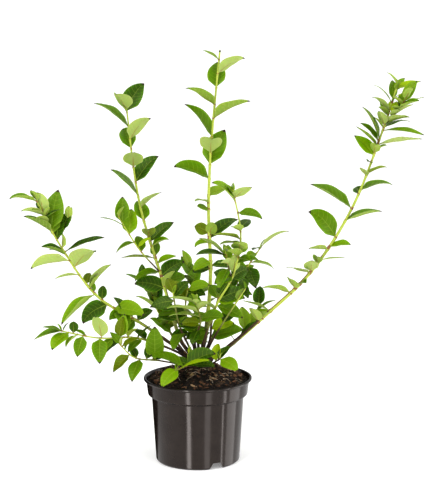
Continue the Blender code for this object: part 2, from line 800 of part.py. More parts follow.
def notch_cutter(number):
    """A trapezoid wedge that runs from inside the foot ring out through its wall."""
    depth = FOOT_RING + 12
    ends = []
    for along in (BODY_RADIUS_FOOT - FOOT_RING - 5, BODY_RADIUS_FOOT - FOOT_RING - 5 + depth):
        half_foot = NOTCH_WIDTH_FOOT / 2 + 1
        half_top = NOTCH_WIDTH_TOP / 2
        corners = ((-half_foot, -1.5), (half_foot, -1.5), (half_top, FLOOR_RISE), (-half_top, FLOOR_RISE))
        for half, height in corners:
            ends.append((along, half, height))
    faces = [(3, 2, 1, 0), (4, 5, 6, 7)] + [(k, (k + 1) % 4, (k + 1) % 4 + 4, k + 4) for k in range(4)]
    turn = math.radians(NOTCH_FIRST + 360 / NOTCH_COUNT * number)
    verts = [
        (x * math.cos(turn) - y * math.sin(turn), x * math.sin(turn) + y * math.cos(turn), z)
        for x, y, z in ends
    ]
    cutter = new_object(f"notch_cutter_{number + 1}", verts, faces, bpy.data.materials["pot"])
    cutter.hide_render = True
    cutter.display_type = "WIRE"
    return cutter


def make_pot(root, surface):
    pot = turned("pot", pot_profile(), POT_SIDES, surface, root)
    for number in range(NOTCH_COUNT):
        cutter = notch_cutter(number)
        cut = pot.modifiers.new(f"notch_{number + 1}", "BOOLEAN")
        cut.operation = "DIFFERENCE"
        cut.object = cutter
        cut.solver = "EXACT"


def make_soil(root, surface):
    """Potting mix that fills the pot and mounds round the crown."""
    collar_foot = POT_HEIGHT - COLLAR_HEIGHT
    floor_top = FLOOR_RISE + WALL + GAP
    rim = POT_HEIGHT - SOIL_RIM_DROP
    inset = WALL + 2 * GAP
    collar_slope = (COLLAR_RADIUS_TOP - COLLAR_RADIUS_FOOT) / COLLAR_HEIGHT
    wall_at_rim = COLLAR_RADIUS_TOP - inset - collar_slope * SOIL_RIM_DROP
    profile = [
        (0.0, WALL + GAP),
        (CENTRE_PAD_RADIUS - 1, WALL + GAP),
        (CENTRE_PAD_RADIUS + 4, floor_top),
        (BODY_RADIUS_FOOT - inset - 2.5, floor_top),
        (BODY_RADIUS_TOP - inset, collar_foot - COLLAR_STEP + 1),
        (COLLAR_RADIUS_FOOT - inset, collar_foot + 1.6),
        (wall_at_rim, rim),
    ]
    rings = 4
    for i in range(1, rings + 1):
        share = i / rings
        radius = wall_at_rim + (SOIL_TOP_RADIUS - wall_at_rim) * share
        profile.append((radius, rim + (SOIL_TOP - rim) * math.sin(share * math.pi / 2)))
    profile.append((0.0, SOIL_TOP))
    turned("soil", profile, SOIL_SIDES, surface, root)


def make_crown(root, surface):
    """The woody foot that all canes leave from: a dome with a root flare, flat at the soil."""
    floor = SOIL_TOP + GAP
    rise = CROWN_CENTRE.z - floor
    profile = [(0.0, floor), (CROWN_RADIUS + CROWN_FLARE, floor), (CROWN_RADIUS, CROWN_CENTRE.z + 1)]
    steps = 6
    for i in range(1, steps):
        turn = math.pi / 2 * i / steps
        height = CROWN_CENTRE.z + CROWN_RADIUS * math.sin(turn)
        if height > floor + rise + 2:
            profile.append((CROWN_RADIUS * math.cos(turn), height))
    profile.append((0.0, CROWN_CENTRE.z + CROWN_RADIUS))
    crown = turned("crown", profile, CROWN_SIDES, surface, root)
    crown.location = (CROWN_CENTRE.x * MM, CROWN_CENTRE.y * MM, 0)


def keep_largest_shell(mesh):
    """Drops loose scraps and the faces of any hollow that fusing sealed."""
    shape = bmesh.new()
    shape.from_mesh(mesh)
    bmesh.ops.triangulate(shape, faces=shape.faces)
    unseen = set(shape.faces)
    shells = []
    while unseen:
        stack = [unseen.pop()]
        shell = set(stack)
        while stack:
            for edge in stack.pop().edges:
                for face in edge.link_faces:
                    if face in unseen:
                        unseen.remove(face)
                        shell.add(face)
                        stack.append(face)
        shells.append(shell)
    largest = max(shells, key=len)
    scraps = [face for shell in shells if shell is not largest for face in shell]
    bmesh.ops.delete(shape, geom=scraps, context="FACES")
    shape.to_mesh(mesh)
    shape.free()


def make_spray(name, meshes, root, surface):
    """One solid: the stem with its twigs and leaves joined by a single union."""
    stem = new_object(name, *meshes[0], surface, root)
    others = bpy.data.collections.new(f"{name}_pieces")
    for i, mesh in enumerate(meshes[1:]):
        piece = new_object(f"{name}_piece_{i}", *mesh, surface)
        bpy.context.scene.collection.objects.unlink(piece)
        others.objects.link(piece)
    bpy.context.scene.collection.children.link(others)
    union = stem.modifiers.new("union", "BOOLEAN")
    union.operation = "UNION"
    union.operand_type = "COLLECTION"
    union.collection = others
    union.solver = "EXACT"
    graph = bpy.context.evaluated_depsgraph_get()
    joined = bpy.data.meshes.new_from_object(stem.evaluated_get(graph))
    stem.modifiers.clear()
    stem.data = joined
    joined.name = name
    for piece in list(others.objects):
        bpy.data.objects.remove(piece)
    bpy.data.collections.remove(others)
    keep_largest_shell(joined)
    return stem


def main():
    for old in list(bpy.data.objects):
        bpy.data.objects.remove(old)
    root = bpy.data.objects.new("potted_blueberry", None)
    bpy.context.scene.collection.objects.link(root)
    plastic = material("pot", (0.045, 0.04, 0.04), 0.35)
    mix = material("soil", (0.05, 0.03, 0.02), 0.95)
    bark = material("bark", (0.30, 0.33, 0.10), 0.6)
    wood = material("wood", (0.10, 0.055, 0.035), 0.8)
    leaf = material("leaf", (0.16, 0.34, 0.03), 0.45)
    make_pot(root, plastic)
    make_soil(root, mix)
    make_crown(root, wood)
    plan = lay_out()
    sprays = {}
    for limb in plan.limbs:
        if limb.node.startswith("cane_"):
            new_object(limb.node, *limb_mesh(limb), bark, root).data.shade_smooth()
        else:
            sprays.setdefault(limb.node, []).append(limb_mesh(limb))
    for node, placed in plan.leaves:
        sprays[node].append(leaf_mesh(placed))
    for node, meshes in sprays.items():
        make_spray(node, meshes, root, leaf)
    print("leaves skipped:", plan.skipped)


main()
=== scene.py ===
"""The looks of a potted young highbush blueberry bush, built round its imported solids.

Sizes are millimetres until a mesh is made, where MM turns them into Blender's metres.
The plan of shoots, sprays and leaves is the same as the solids': the same rule with the same
seeds. Here each limb becomes a tube with the relief of its bark, each leaf a blade with veins,
and small leaves unfold towards the tips of the shoots, within the same reach.
"""

import math
import random
import re
from collections import namedtuple

import bmesh
import bpy
import numpy as np
from mathutils import Matrix, Vector, noise
from mathutils.bvhtree import BVHTree


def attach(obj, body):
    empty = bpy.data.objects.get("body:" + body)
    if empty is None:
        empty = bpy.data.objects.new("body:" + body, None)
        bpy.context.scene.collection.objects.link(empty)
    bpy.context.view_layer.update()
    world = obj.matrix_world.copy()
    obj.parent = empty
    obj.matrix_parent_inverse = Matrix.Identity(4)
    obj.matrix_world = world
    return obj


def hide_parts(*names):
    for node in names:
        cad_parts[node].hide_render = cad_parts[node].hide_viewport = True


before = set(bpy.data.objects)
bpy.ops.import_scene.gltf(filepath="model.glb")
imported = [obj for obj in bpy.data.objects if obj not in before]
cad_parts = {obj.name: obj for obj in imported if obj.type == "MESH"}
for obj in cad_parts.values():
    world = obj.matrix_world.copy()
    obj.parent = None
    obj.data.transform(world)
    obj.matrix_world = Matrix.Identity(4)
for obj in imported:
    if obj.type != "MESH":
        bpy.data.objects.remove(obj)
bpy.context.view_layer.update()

MM = 0.001
GAP = 0.3  # between solids that touch on the real plant

# ---------------------------------------------------------------- driving sizes: pot, soil, crown
POT_HEIGHT = 134.0
LIP_RADIUS = 85.0
LIP_HEIGHT = 4.0
COLLAR_RADIUS_TOP = 81.0
COLLAR_RADIUS_FOOT = 78.5
COLLAR_HEIGHT = 26.0
COLLAR_STEP = 3.0
BODY_RADIUS_TOP = 72.5
BODY_RADIUS_FOOT = 66.0
FOOT_BEVEL = 2.5
WALL = 1.6
FOOT_RING = 8.0  # width of the ring the pot stands on
FLOOR_RISE = 10.5  # the floor lies this far above the ring's underside
CENTRE_PAD_RADIUS = 14.0  # dished middle of the floor, which stands on the ground too
NOTCH_COUNT = 3  # drainage notches through the foot ring
NOTCH_FIRST = -63.0  # degrees, from +X towards +Y
NOTCH_WIDTH_FOOT = 25.0
NOTCH_WIDTH_TOP = 12.5

SOIL_TOP = 148.0  # the mound's flat top, which the crown stands on
SOIL_TOP_RADIUS = 26.0
SOIL_RIM_DROP = 5.0  # soil at the wall lies this far below the lip

CROWN_CENTRE = Vector((2.0, 6.0, SOIL_TOP + 2.0))
CROWN_RADIUS = 16.0
CROWN_FLARE = 3.5  # root flare at the soil

# ---------------------------------------------------------------- driving sizes: shoots and leaves
CANE_SIDES = 6
STEM_SIDES = 4
TWIG_SIDES = 3
RING_STEP = 18.0  # between the rings of a limb
STEM_MARGIN = 8.0  # no leaf closer than this to a stem's foot
TIP_MARGIN = 1.5
TWIG_BARE = 0.25  # share of a twig's length below its first leaf
TWIG_SAG = 0.06
TWIG_TAPER = 0.65

LEAF_SHAPE = ((0.0, 0.035), (0.31, 0.5), (0.66, 0.4))  # along, half width as a share of the width
LEAF_WIDTH = 0.56  # of its length
LEAF_KEEL = 0.06  # depth of the midrib under the blade, as a share of the half width
LEAF_DROOP = 38.0  # degrees that a blade bends down along its length
LEAF_THICKNESS = 0.012  # of its length
LEAF_ROOT = 0.2  # share of a blade at its root that may touch its own spray
PLACED_ROOT = 0.4  # the same for a leaf whose place is written
LEAF_CLEAR = 0.35  # kept to other nodes
LEAF_SUNK = 0.25  # of the stem's radius
LEAF_TRIES = 13  # headings tried before a leaf is skipped
LEAF_SWING = 10.0  # degrees between them
LEAF_LIFT = 5.0
LEAF_STRAY = 12.0  # degrees either side of the heading that is written
LEAF_ROLL = 0.45  # radians either way round its own length

COMPASS = "R RBR BR BBR B BBL BL LBL L LFL FL FFL F FFR FR RFR".split()
SIDES = {side: 22.5 * i for i, side in enumerate(COMPASS)}  # degrees from +X towards +Y
RISES = {"": 28.0, "^": 56.0, "-": 2.0, "v": -42.0}  # degrees that a leaf points above level
TURN = 144.0  # degrees from one leaf to the next round a shoot

Spray = namedtuple("Spray", "name start leaves twigs slim")
Twig = namedtuple("Twig", "at tip radius leaves")
Shoot = namedtuple("Shoot", "name knees foot_radius tip_radius sprays")
Limb = namedtuple("Limb", "node path start end radius_start radius_end sides")
Leaf = namedtuple("Leaf", "root heading rise length roll slim tone")
Wanted = namedtuple("Wanted", "at heading rise length face tone")
Job = namedtuple("Job", "node path first last radii leaves slim rng")


def point(text):
    return tuple(float(part) for part in text.split(","))


def read_leaves(text):
    """What a text asks for, leaf by leaf. at and face are None where it is silent."""
    wanted = []
    pattern = r"(?:(\d+):)?([BFLR]+)(\d+)(@-?\d+|[\^v-]?)(~-?\d+)?([dmfypo]?)"
    for at, side, length, rise, face, tone in re.findall(pattern, text):
        angle = float(rise[1:]) if rise[:1] == "@" else RISES[rise]
        turned_by = float(face[1:]) if face else None
        place = int(at) / 100 if at else None
        wanted.append(Wanted(place, SIDES[side], angle, float(length), turned_by, tone))
    return wanted


def read_shoots(text):
    """The shoots that a text describes, with their sprays, twigs and leaves."""
    shoots = []
    for line in text.strip().splitlines():
        kind, *words = line.split()
        if kind == "shoot":
            name, foot, tip, *knees = words
            shoots.append(Shoot(name, [point(knee) for knee in knees], float(foot), float(tip), []))
        elif kind == "spray":
            name, start, slim = words
            bearer = Spray(name, float(start), [], [], float(slim))
            shoots[-1].sprays.append(bearer)
        elif kind == "twig":
            at, tip, radius = words
            bearer = Twig(float(at), point(tip), float(radius), [])
            shoots[-1].sprays[-1].twigs.append(bearer)
        else:
            bearer.leaves.extend(read_leaves(line))
    return shoots


# Deep and pale are partly painted light: deep stands for leaves in shade and pale for lit leaves, besides
# the leaves' own spread of greens.
# The plan is written in words, a line for each thing. A shoot has its name, its radius at the
# foot and at the tip, and the points that it runs through. A spray has its name, the share of
# the shoot where it starts and the slimness of its leaves. A twig has the share of its spray
# where it leaves, its tip and its radius. The leaves of a spray or a twig follow it.
#
# A leaf is written as its side, its length, its rise and how far its face is turned to the
# front: L58^, FR40@-25, R46@30~40. Leaves run up the shoot, evenly spaced, but one that starts
# with a number sits at that percentage of the leafy stretch: 35:R46@30~40. A last letter is
# the leaf's tone, which the looks read: d deep, m mature, f fresh, y young, p pale, o olive.
# The last shoot, pruned, is the stub of a cane that was cut off.
SHOOTS = read_shoots("""
shoot far_left 2.9 1 -30,4,177 -85,-15,221 -154,-45,273 -207,-75,358 -240,-90,429
spray far_left_lower 0.26 1
  4:BR34@20~30d 8:FL36@-35~40m 12:BL34@20 18:LFL40@50~40d 24:BR33@45~20d 28:FL30@-10~40m 37:FFR46@-30~0m
  44:RFR52@-8~45f 55:LFL50@-32~60d 66:B26@45~10d 80:LFL70@-40~-10f 83:BL18@60 90:BR28@30 95:R50@22~-50p
  100:BBR26@25~20o
spray far_left_middle 0.6 1
  6:L37@-10~-15p 32:FR64@32~-20p 57:L62@-12~-30p 74:L29@20m 78:L41@10~5d 86:R66@20~0d 100:LBL23@65
spray far_left_tip 0.79 1
  0:BR38@70~20d 15:BL40@50~20m 21:LFL52@30~-5d 23:BBR64@70~10m 42:FL28@25 56:R24@30d 62:LFL38@15~-10p
  67:FL36@65~-20p 72:FL20@15 74:BBL24@25~10d 97:LFL45@10~0m 99:FFL26@45
twig 0 -190,-60,402 1.2
  18:R33@35~20d 34:BBL22@30d 70:FR18@40p
shoot left 3.3 1.2 -28,34,186 -57,75,273 -90,100,376 -103,115,443 -115,135,541
spray left_lower 0.27 1
  2:L50@10~65d 4:RFR34@55~-20y 8:RBR42@5~50m 17:R44@20~60d 23:L45@-25~15m 33:R32@20~20f 39:L55@0~-8o
  41:B34@35m 53:R30@25~10f 59:RBR50@35~25d 64:F40@30~0o 84:BBL42@45~0m 100:RFR46@35~-10p
twig 0.2 -125,30,385 1.3
  20:BBL34@40~0m 32:R27@35~20 44:L34@-30m 60:B44@65~0f 78:LFL46@22~0m 86:B42@78~0m 100:R22@40f
spray left_upper 0.64 1
  4:L63@45~5m 39:RBR58@46~35d 78:F58@32~0p
spray left_tip 0.83 1
  0:BBL50@35~20m 24:RFR52@45~-30p 56:L70@35~12m 97:BR58@50~40d 100:FFL56@35~0p
shoot centre 3.8 1.3 12,22,196 20,26,290 17,34,400 22,42,505 35,52,643
spray centre_lower 0.26 1
  4:BL44@-15~50d 8:R44@-5~25d 13:FL38@-15~35f 36:FL32@-5~10f 40:RBR58@30~10d 44:FFR32@45~-40m
  47:BL34@10~70o 76:FL26@15~40m 84:FL30@10~0p 92:BR40@10~30p
spray centre_upper 0.565 1
  0:L60@20~25m 27:BR62@58~25m 51:F60@30~0p 84:L67@50~25m
spray centre_tip 0.76 1
  0:RFR70@25~-10m 20:LFL58@30~-15m 45:B50@50~0m 66:R50@30~-40p 86:L29@30~10
shoot front_right 2.2 1 12,-20,202 30,-40,258 55,-76,312 66,-98,376 54,-115,448
spray front_right 0.47 1
  0:BL36@20~40d 4:BR40@15~60d 8:FL38@-10~30m 12:FFR36@70~0p 24:R34@10~20m 29:FR26@0~20m 31:FL46@10~0m
  34:BBR34@20~20f 37:F42@30~0f 46:FL34@-10~-10p 50:LFL48@10~-12o 58:FFL34@20~-10f 60:BBR36@15~10d
  77:RFR40@-10~30m 88:LFL50@40~25f 92:FR40@30~-20p 95:BL34@10~-30p
twig 0.05 43,-97,352 1.2
  23:FL40@-50~0m 45:FFL36@10~-20p 55:BR30@25 76:L52@35~0p 84:LFL50@5~10d
shoot right_inner 2.2 1 26,50,190 52,95,247 74,115,279 103,128,320
spray right_inner 0.5 1
  4:B40@30d 10:R34@-8~40m 18:BL38@20m 28:FR34@-40d 38:BR38@25 49:FR36@-40d 52:BL34@10~30m 58:FFL40@-45d
  61:F46@-50~0d 69:R41@-15~0p 86:FL24@-5~30f 96:FFL30@5d 99:R55@30~-20p
shoot far_right 3.5 1.3 42,12,174 95,15,219 176,12,298 241,28,397 290,52,518 313,64,588
spray far_right_lower 0.17 1
  0:FFL42@40~10y 6:FFR28@30 18:L46@20~0p 49:L46@10~-30f 56:FFL38@35~20f 63:FFR26@15m 80:LFL42@15~-15p
  82:F40@35~0p 93:F34@30m 98:R39@5~-10p
spray far_right_middle 0.46 1
  2:LFL32@5~-20p 6:RFR36@10f 21:L60@45~50m 48:R60@15~0m 67:L76@30~15m 89:B28@15d 95:R53@10~10m
spray far_right_upper 0.7 1
  4:FFL30@30p 8:R34@20o 40:FFL20@10d 58:LBL44@42~40f 64:F32@35f 72:FFR22@10m 83:LFL50@40~5m 87:R72@6~-18p
  95:L42@45~20m 100:L60@62~10m
spray far_right_tip 0.845 0.72
  0:RFR68@-5~5f 6:RBR48@10~0m 10:FFL40@40~0p 14:RBR44@12~-8m 18:FR44@15~-10p 35:BBL34@35m 40:LFL40@40~-10p
  60:L42@45~5f 64:FFR30@25y 68:B36@55m 86:BR30@40f 92:R40@15~30y 100:L26@50y
twig 0.12 327,34,574 1.2
  0:FFR30@30~-10p 4:BBR36@35~10d 8:FR38@20~0p 39:RBR50@20~-5m 43:FR44@20~20m 65:FL30@25y 69:BR48@42~45f
  80:FFR34@40~-10f 96:BR26@50f
shoot low_left 2.1 0.9 -34,-14,178 -92,-52,208 -150,-90,217 -206,-110,233
spray low_left_inner 0.33 1
  8:BL34@20d 20:FL32@-30m 32:BR34@25d 49:FL22@-55m 58:FR30@35~0o 68:LFL46@-45~10d 76:B36@55~10f
  80:B32@50~10o 97:FL30@-45~20m
spray low_left_tip 0.68 1
  2:FFL44@62~0p 6:F44@-50~0m 40:LBL20@15 47:FFL34@-60~30m 59:FL30@-30~-20p 70:B26@30d 80:FL42@-30~10f
  96:LFL32@15~10m 100:L43@-20~10m
shoot low_front_left 1.6 0.9 -28,-24,160 -60,-42,170 -96,-64,180 -118,-84,206
spray low_front_left 0.42 1
  2:B54@84~0m 8:BR32@10~30d 22:RBR32@12~40d 37:FFL44@-40~0m 45:BBL26@25~20d 65:LFL37@-45~30o 93:R30@25~20o
  100:BL26@35~20m
shoot front 1.7 0.9 3,-26,158 -10,-50,164 -34,-76,163
spray front 0.4 1
  0:R36@-5~40d 14:L34@10~40d 43:R52@25~40d 50:LBL58@8~10m 76:R54@8~5y 83:FL44@-30~30f
shoot front_short 1.5 0.9 22,-20,160 36,-38,172
spray front_short 0.45 1
  10:BBR30@60y 60:BR30@30d 98:FR40@-20~30f
shoot back_left 2.4 1 -26,40,168 -58,84,208 -92,128,262
spray back_left 0.33 1
  L44 BR40 F36 BL46^ R40 L44 B42^ FR34 BL40 R34 L38 B30^
shoot back 2.6 1 0,44,178 -6,92,222 -14,142,282
spray back 0.34 1
  R44 L42 B46^ FR36 BL44 R44 L38 BR42^ FL34 B42 R34 L32^
shoot back_right 2.2 1 38,36,166 74,74,190 104,118,232
spray back_right 0.36 1
  L38 R42 B42^ BR44 L36 R40 B38^ L30^
shoot pruned 3.4 2.9 -13,-19,175
""")

# Leafy shoots in front of the canes, which bear leaves almost from their feet.
SHORT_SHOOTS = read_shoots("""
shoot heart_left 1.9 1 -17,-6,191 -29,-10,220 -35,-14,252 -38,-16,273
spray heart_left 0 1
  18:RFR32@-10~40d 30:FFL42@-28m 49:RFR32@-5~40d 53:L34@5~40d 66:LBL30@-15~30m 72:L42@5~35d 86:L38@-15~50d
  91:BR40@35~20d 97:BBL36@35~0o
shoot heart_front 1.6 1 -4,-14,196 5,-30,228 2,-44,249 -2,-52,268
spray heart_front 0 1
  16:RBR32@5~45m 30:L40@15~50m 38:FFL30@-40d 42:L34@0~50d 53:L30@-5~55o 61:RFR48@0~40m 67:L52@0~-5p
  77:LFL58@10~-10p 83:FR30@30~-15p 88:FFL28@35~-10p 94:LFL50@15~-15p
shoot heart_middle 1.9 1 -9,10,188 -16,10,215 -19,8,248 -15,4,276
spray heart_middle 0 1
  20:LFL32@-5~40d 28:FFR34@-30d 36:R30@25~30m 49:L30@15~50d 58:L34@0~50d 65:R34@5~40f 76:BBL38@40~10d
  80:LBL44@35~40o 91:R30@-5~60d 97:RFR40@15~35f
shoot heart_right 1.9 1 19,4,192 22,-6,223 29,-10,250 33,-12,266
spray heart_right 0 1
  10:FL32@-20d 19:RFR56@10~50m 36:RFR38@5~45y 40:FFR26@50f 52:L32@25~30m 75:LFL32@30~-10p 83:RFR46@-36~55m
  88:R46@10~35f 92:RBR50@10~50d 95:BBL34@30~20m 99:BBR36@30~20d
""")

# More short shoots stand round the back of the crown, each a spray of its own.
HEART_COUNT = 3
HEART_TURN = 70.0
HEART_FIRST = -8.0  # degrees, round the back from here
HEART_LEAN = (30.0, 52.0)  # degrees from upright, the first and the last
HEART_REACH = (138.0, 96.0)  # length of the first and the last
HEART_RADIUS = (1.9, 0.9)
HEART_LEAVES = (6, 5)
HEART_LEAF = (34.0, 44.0)
HEART_BARE = 0.15
HEART_SEED = 7
HEART_SWING = 8.0  # degrees, for a heart shoot whose place is taken
HEART_TRIES = 24

SEED = 41


# ---------------------------------------------------------------- directions
def turns(sides):
    """The angles of a ring's corners."""
    return [2 * math.pi * k / sides for k in range(sides)]


def bearing(turn):
    """The level direction at an angle from +X towards +Y."""
    return Vector((math.cos(turn), math.sin(turn), 0.0))


def outward(turn, lift):
    """The direction at an angle from +X towards +Y, and at an angle above level."""
    return Vector((math.cos(turn) * math.cos(lift), math.sin(turn) * math.cos(lift), math.sin(lift)))


# ---------------------------------------------------------------- curves and limbs
def curve_through(points, steps):
    """Evenly counted points on a smooth curve through the given ones."""
    points = [Vector(p) for p in points]
    padded = [2 * points[0] - points[1], *points, 2 * points[-1] - points[-2]]
    out = []
    for before, a, b, after in zip(padded, padded[1:], padded[2:], padded[3:]):
        span = (b - a).length
        tangent_a = (b - before) * span / ((b - a).length + (a - before).length)
        tangent_b = (after - a) * span / ((b - a).length + (after - b).length)
        for i in range(steps):
            t = i / steps
            out.append(
                a * (2 * t**3 - 3 * t**2 + 1)
                + tangent_a * (t**3 - 2 * t**2 + t)
                + b * (3 * t**2 - 2 * t**3)
                + tangent_b * (t**3 - t**2)
            )
    out.append(points[-1])
    return out


class Path:
    """A curve that is read by the length along it."""

    def __init__(self, points, steps=12):
        self.points = curve_through(points, steps)
        self.marks = [0.0]
        for a, b in zip(self.points, self.points[1:]):
            self.marks.append(self.marks[-1] + (b - a).length)
        self.length = self.marks[-1]

    def at(self, s):
        s = min(max(s, 0.0), self.length)
        for i in range(1, len(self.marks)):
            if s <= self.marks[i] or i == len(self.marks) - 1:
                share = (s - self.marks[i - 1]) / (self.marks[i] - self.marks[i - 1])
                return self.points[i - 1].lerp(self.points[i], share)

    def along(self, s):
        return (self.at(s + 1.0) - self.at(s - 1.0)).normalized()


def limb_mesh(limb, swell=0.0):
    """Vertices and faces of one closed tapering limb."""
    span = limb.end - limb.start
    count = max(2, round(span / RING_STEP) + 1)
    verts = []
    side = limb.path.along(limb.start).orthogonal().normalized()
    for i in range(count):
        share = i / (count - 1)
        middle = limb.path.at(limb.start + span * share)
        way = limb.path.along(limb.start + span * share)
        side = (side - way * side.dot(way)).normalized()
        up = way.cross(side)
        radius = limb.radius_start + (limb.radius_end - limb.radius_start) * share + swell
        for turn in turns(limb.sides):
            verts.append(middle + (side * math.cos(turn) + up * math.sin(turn)) * radius)
    return verts, capped_rings(count, limb.sides, tip=False)


def capped_rings(count, sides, tip):
    """Triangles that join rings of vertices into a closed body, whose last vertex may be a tip."""
    faces = [(0, k + 1, k) for k in range(1, sides - 1)]
    for i in range(count - 1):
        for k in range(sides):
            a = i * sides + k
            b = i * sides + (k + 1) % sides
            faces += [(a, b, b + sides), (a, b + sides, a + sides)]
    last = (count - 1) * sides
    if tip:
        faces += [(last + k, last + (k + 1) % sides, last + sides) for k in range(sides)]
    else:
        faces += [(last, last + k, last + k + 1) for k in range(1, sides - 1)]
    return faces


# ---------------------------------------------------------------- leaves
def leaf_mesh(leaf, swell=0.0, shift=0.0, first=0.0):
    """Vertices and faces of a drooping blade with a keel under its midrib. swell widens and
    lengthens it, shift moves it along its normal, and first leaves out that share at the root."""
    root, heading, rise, length, roll, slim, _ = leaf
    droop = math.radians(LEAF_DROOP)
    turn = math.radians(heading)
    flat = bearing(turn)
    across_level = Vector((-math.sin(turn), math.cos(turn), 0.0))
    verts = []
    width = LEAF_WIDTH * slim * length
    for share, half in LEAF_SHAPE:
        if share < first:
            half += (LEAF_SHAPE[1][1] - half) * min(1.0, first / LEAF_SHAPE[1][0])
            share = min(first, LEAF_SHAPE[1][0] - 0.01)
        middle, upright = blade_point(share, flat, math.radians(rise), droop, length + swell)
        across = across_level * math.cos(roll) + upright * math.sin(roll)
        normal = upright * math.cos(roll) - across_level * math.sin(roll)
        reach = half * width + swell
        keel = LEAF_KEEL * reach + LEAF_THICKNESS * length
        top = root + middle + normal * shift
        verts += [top - across * reach, top - normal * keel, top + across * reach]
    tip, _ = blade_point(1.0, flat, math.radians(rise), droop, length + swell)
    verts.append(root + tip)
    return verts, capped_rings(len(LEAF_SHAPE), 3, tip=True)


def guard_mesh(leaf):
    """The space a leaf takes up with its clearance: the leaf, grown, at three heights."""
    verts = []
    faces = []
    for shift in (-LEAF_CLEAR, 0.0, LEAF_CLEAR):
        more_verts, more_faces = leaf_mesh(leaf, swell=LEAF_CLEAR, shift=shift)
        faces += [tuple(k + len(verts) for k in face) for face in more_faces]
        verts += more_verts
    return verts, faces


def blade_point(share, flat, rise, droop, length):
    """A point on a midrib that bends down as an arc, and the blade's upward normal there."""
    lift = rise + droop / 2
    radius = length / droop
    bend = droop * share
    run = radius * (math.sin(lift) - math.sin(lift - bend))
    climb = radius * (math.cos(lift - bend) - math.cos(lift))
    now = lift - bend
    return flat * run + Vector((0, 0, climb)), Vector((0, 0, math.cos(now))) - flat * math.sin(now)


# ---------------------------------------------------------------- the plant's plan
class Shape:
    """Vertices and faces, with the tree that tells what they touch."""

    def __init__(self, verts, faces, node):
        self.node = node
        self.low = Vector([min(v[k] for v in verts) for k in range(3)])
        self.high = Vector([max(v[k] for v in verts) for k in range(3)])
        self.tree = BVHTree.FromPolygons(verts, faces, epsilon=0.0)

    def near(self, other):
        return all(self.low[k] <= other.high[k] and other.low[k] <= self.high[k] for k in range(3))

    def touches(self, other):
        return self.near(other) and bool(self.tree.overlap(other.tree))


def crown_point(toward):
    """Where a limb that heads for a point leaves the crown, clear of it."""
    way = (Vector(toward) - CROWN_CENTRE).normalized()
    return CROWN_CENTRE + way * (CROWN_RADIUS + GAP)


def place_leaf(shapes, own, path, s, radius, wanted, slim, rng):
    """The first heading near the wanted one where the leaf clears every other piece, or None."""
    stray = rng.uniform(-LEAF_STRAY, LEAF_STRAY), rng.uniform(-LEAF_STRAY, LEAF_STRAY) / 2
    roll = rng.uniform(-LEAF_ROLL, LEAF_ROLL)
    heading = wanted.heading
    rise = wanted.rise
    bare = PLACED_ROOT
    if wanted.at is None:
        bare = LEAF_ROOT
        heading += stray[0]
        rise += stray[1]
    if wanted.face is not None:
        roll = math.copysign(1.0, math.cos(math.radians(heading))) * math.radians(wanted.face)
    for attempt in range(LEAF_TRIES):
        step = (attempt + 1) // 2
        way = heading + LEAF_SWING * step * (1 if attempt % 2 else -1)
        root = path.at(s) - bearing(math.radians(way)) * radius * LEAF_SUNK
        leaf = Leaf(root, way, rise + LEAF_LIFT * step, wanted.length + radius, roll, slim, wanted.tone)
        guard = Shape(*guard_mesh(leaf), own)
        blade = Shape(*leaf_mesh(leaf, first=bare), own)
        near = [shape for shape in shapes if guard.near(shape)]
        if not any((blade if shape.node == own else guard).touches(shape) for shape in near):
            return leaf
    return None


class Plan:
    """Every limb and leaf of the bush, laid out so that no two nodes touch."""

    def __init__(self):
        self.limbs = []
        self.leaves = []
        self.shapes = []

    def add_limb(self, limb):
        self.shapes.append(Shape(*limb_mesh(limb), limb.node))
        self.limbs.append(limb)

    def add_leaf(self, node, path, s, radius, wanted, slim, rng):
        """Adds a leaf of a stem at s, if it finds room near where it is wanted."""
        leaf = place_leaf(self.shapes, node, path, s, radius, wanted, slim, rng)
        if leaf is not None:
            self.shapes.append(Shape(*leaf_mesh(leaf), node))
            self.leaves.append((node, leaf))


def radius_at(shoot, path, s):
    return shoot.foot_radius + (shoot.tip_radius - shoot.foot_radius) * (s / path.length) ** 0.8


def heart_shoot(number, swing):
    """A short shoot at the back of the crown: upright first and leaning last."""
    rng = random.Random(HEART_SEED + number)
    share = number / (HEART_COUNT - 1)
    turn = math.radians(HEART_FIRST + HEART_TURN * number + swing)
    lean = math.radians(HEART_LEAN[0] + (HEART_LEAN[1] - HEART_LEAN[0]) * share)
    reach = HEART_REACH[0] + (HEART_REACH[1] - HEART_REACH[0]) * share
    out = bearing(turn)
    foot_way = out * math.sin(lean) + Vector((0, 0, math.cos(lean)))
    knee = CROWN_CENTRE + foot_way * (CROWN_RADIUS + 0.35 * reach)
    tip = CROWN_CENTRE + foot_way * (CROWN_RADIUS + reach) + out * 0.06 * reach
    count = round(HEART_LEAVES[0] + (HEART_LEAVES[1] - HEART_LEAVES[0]) * share)
    start = rng.uniform(0, 360)
    leaves = []
    for k in range(count):
        side = min(SIDES, key=lambda name: abs((SIDES[name] - start - TURN * k + 180) % 360 - 180))
        length = round(rng.uniform(*HEART_LEAF) * (1.0 if k < count - 2 else 0.7))
        leaves.append(f"{side}{length}{rng.choice(['', '', '-', '^'])}")
    name = f"heart_back_{number + 1}"
    spray = Spray(name, 0.0, read_leaves(" ".join(leaves)), [], 1.0)
    return Shoot(name, [knee, tip], *HEART_RADIUS, [spray])


def shoot_path(shoot):
    return Path([crown_point(shoot.knees[0]), *shoot.knees])


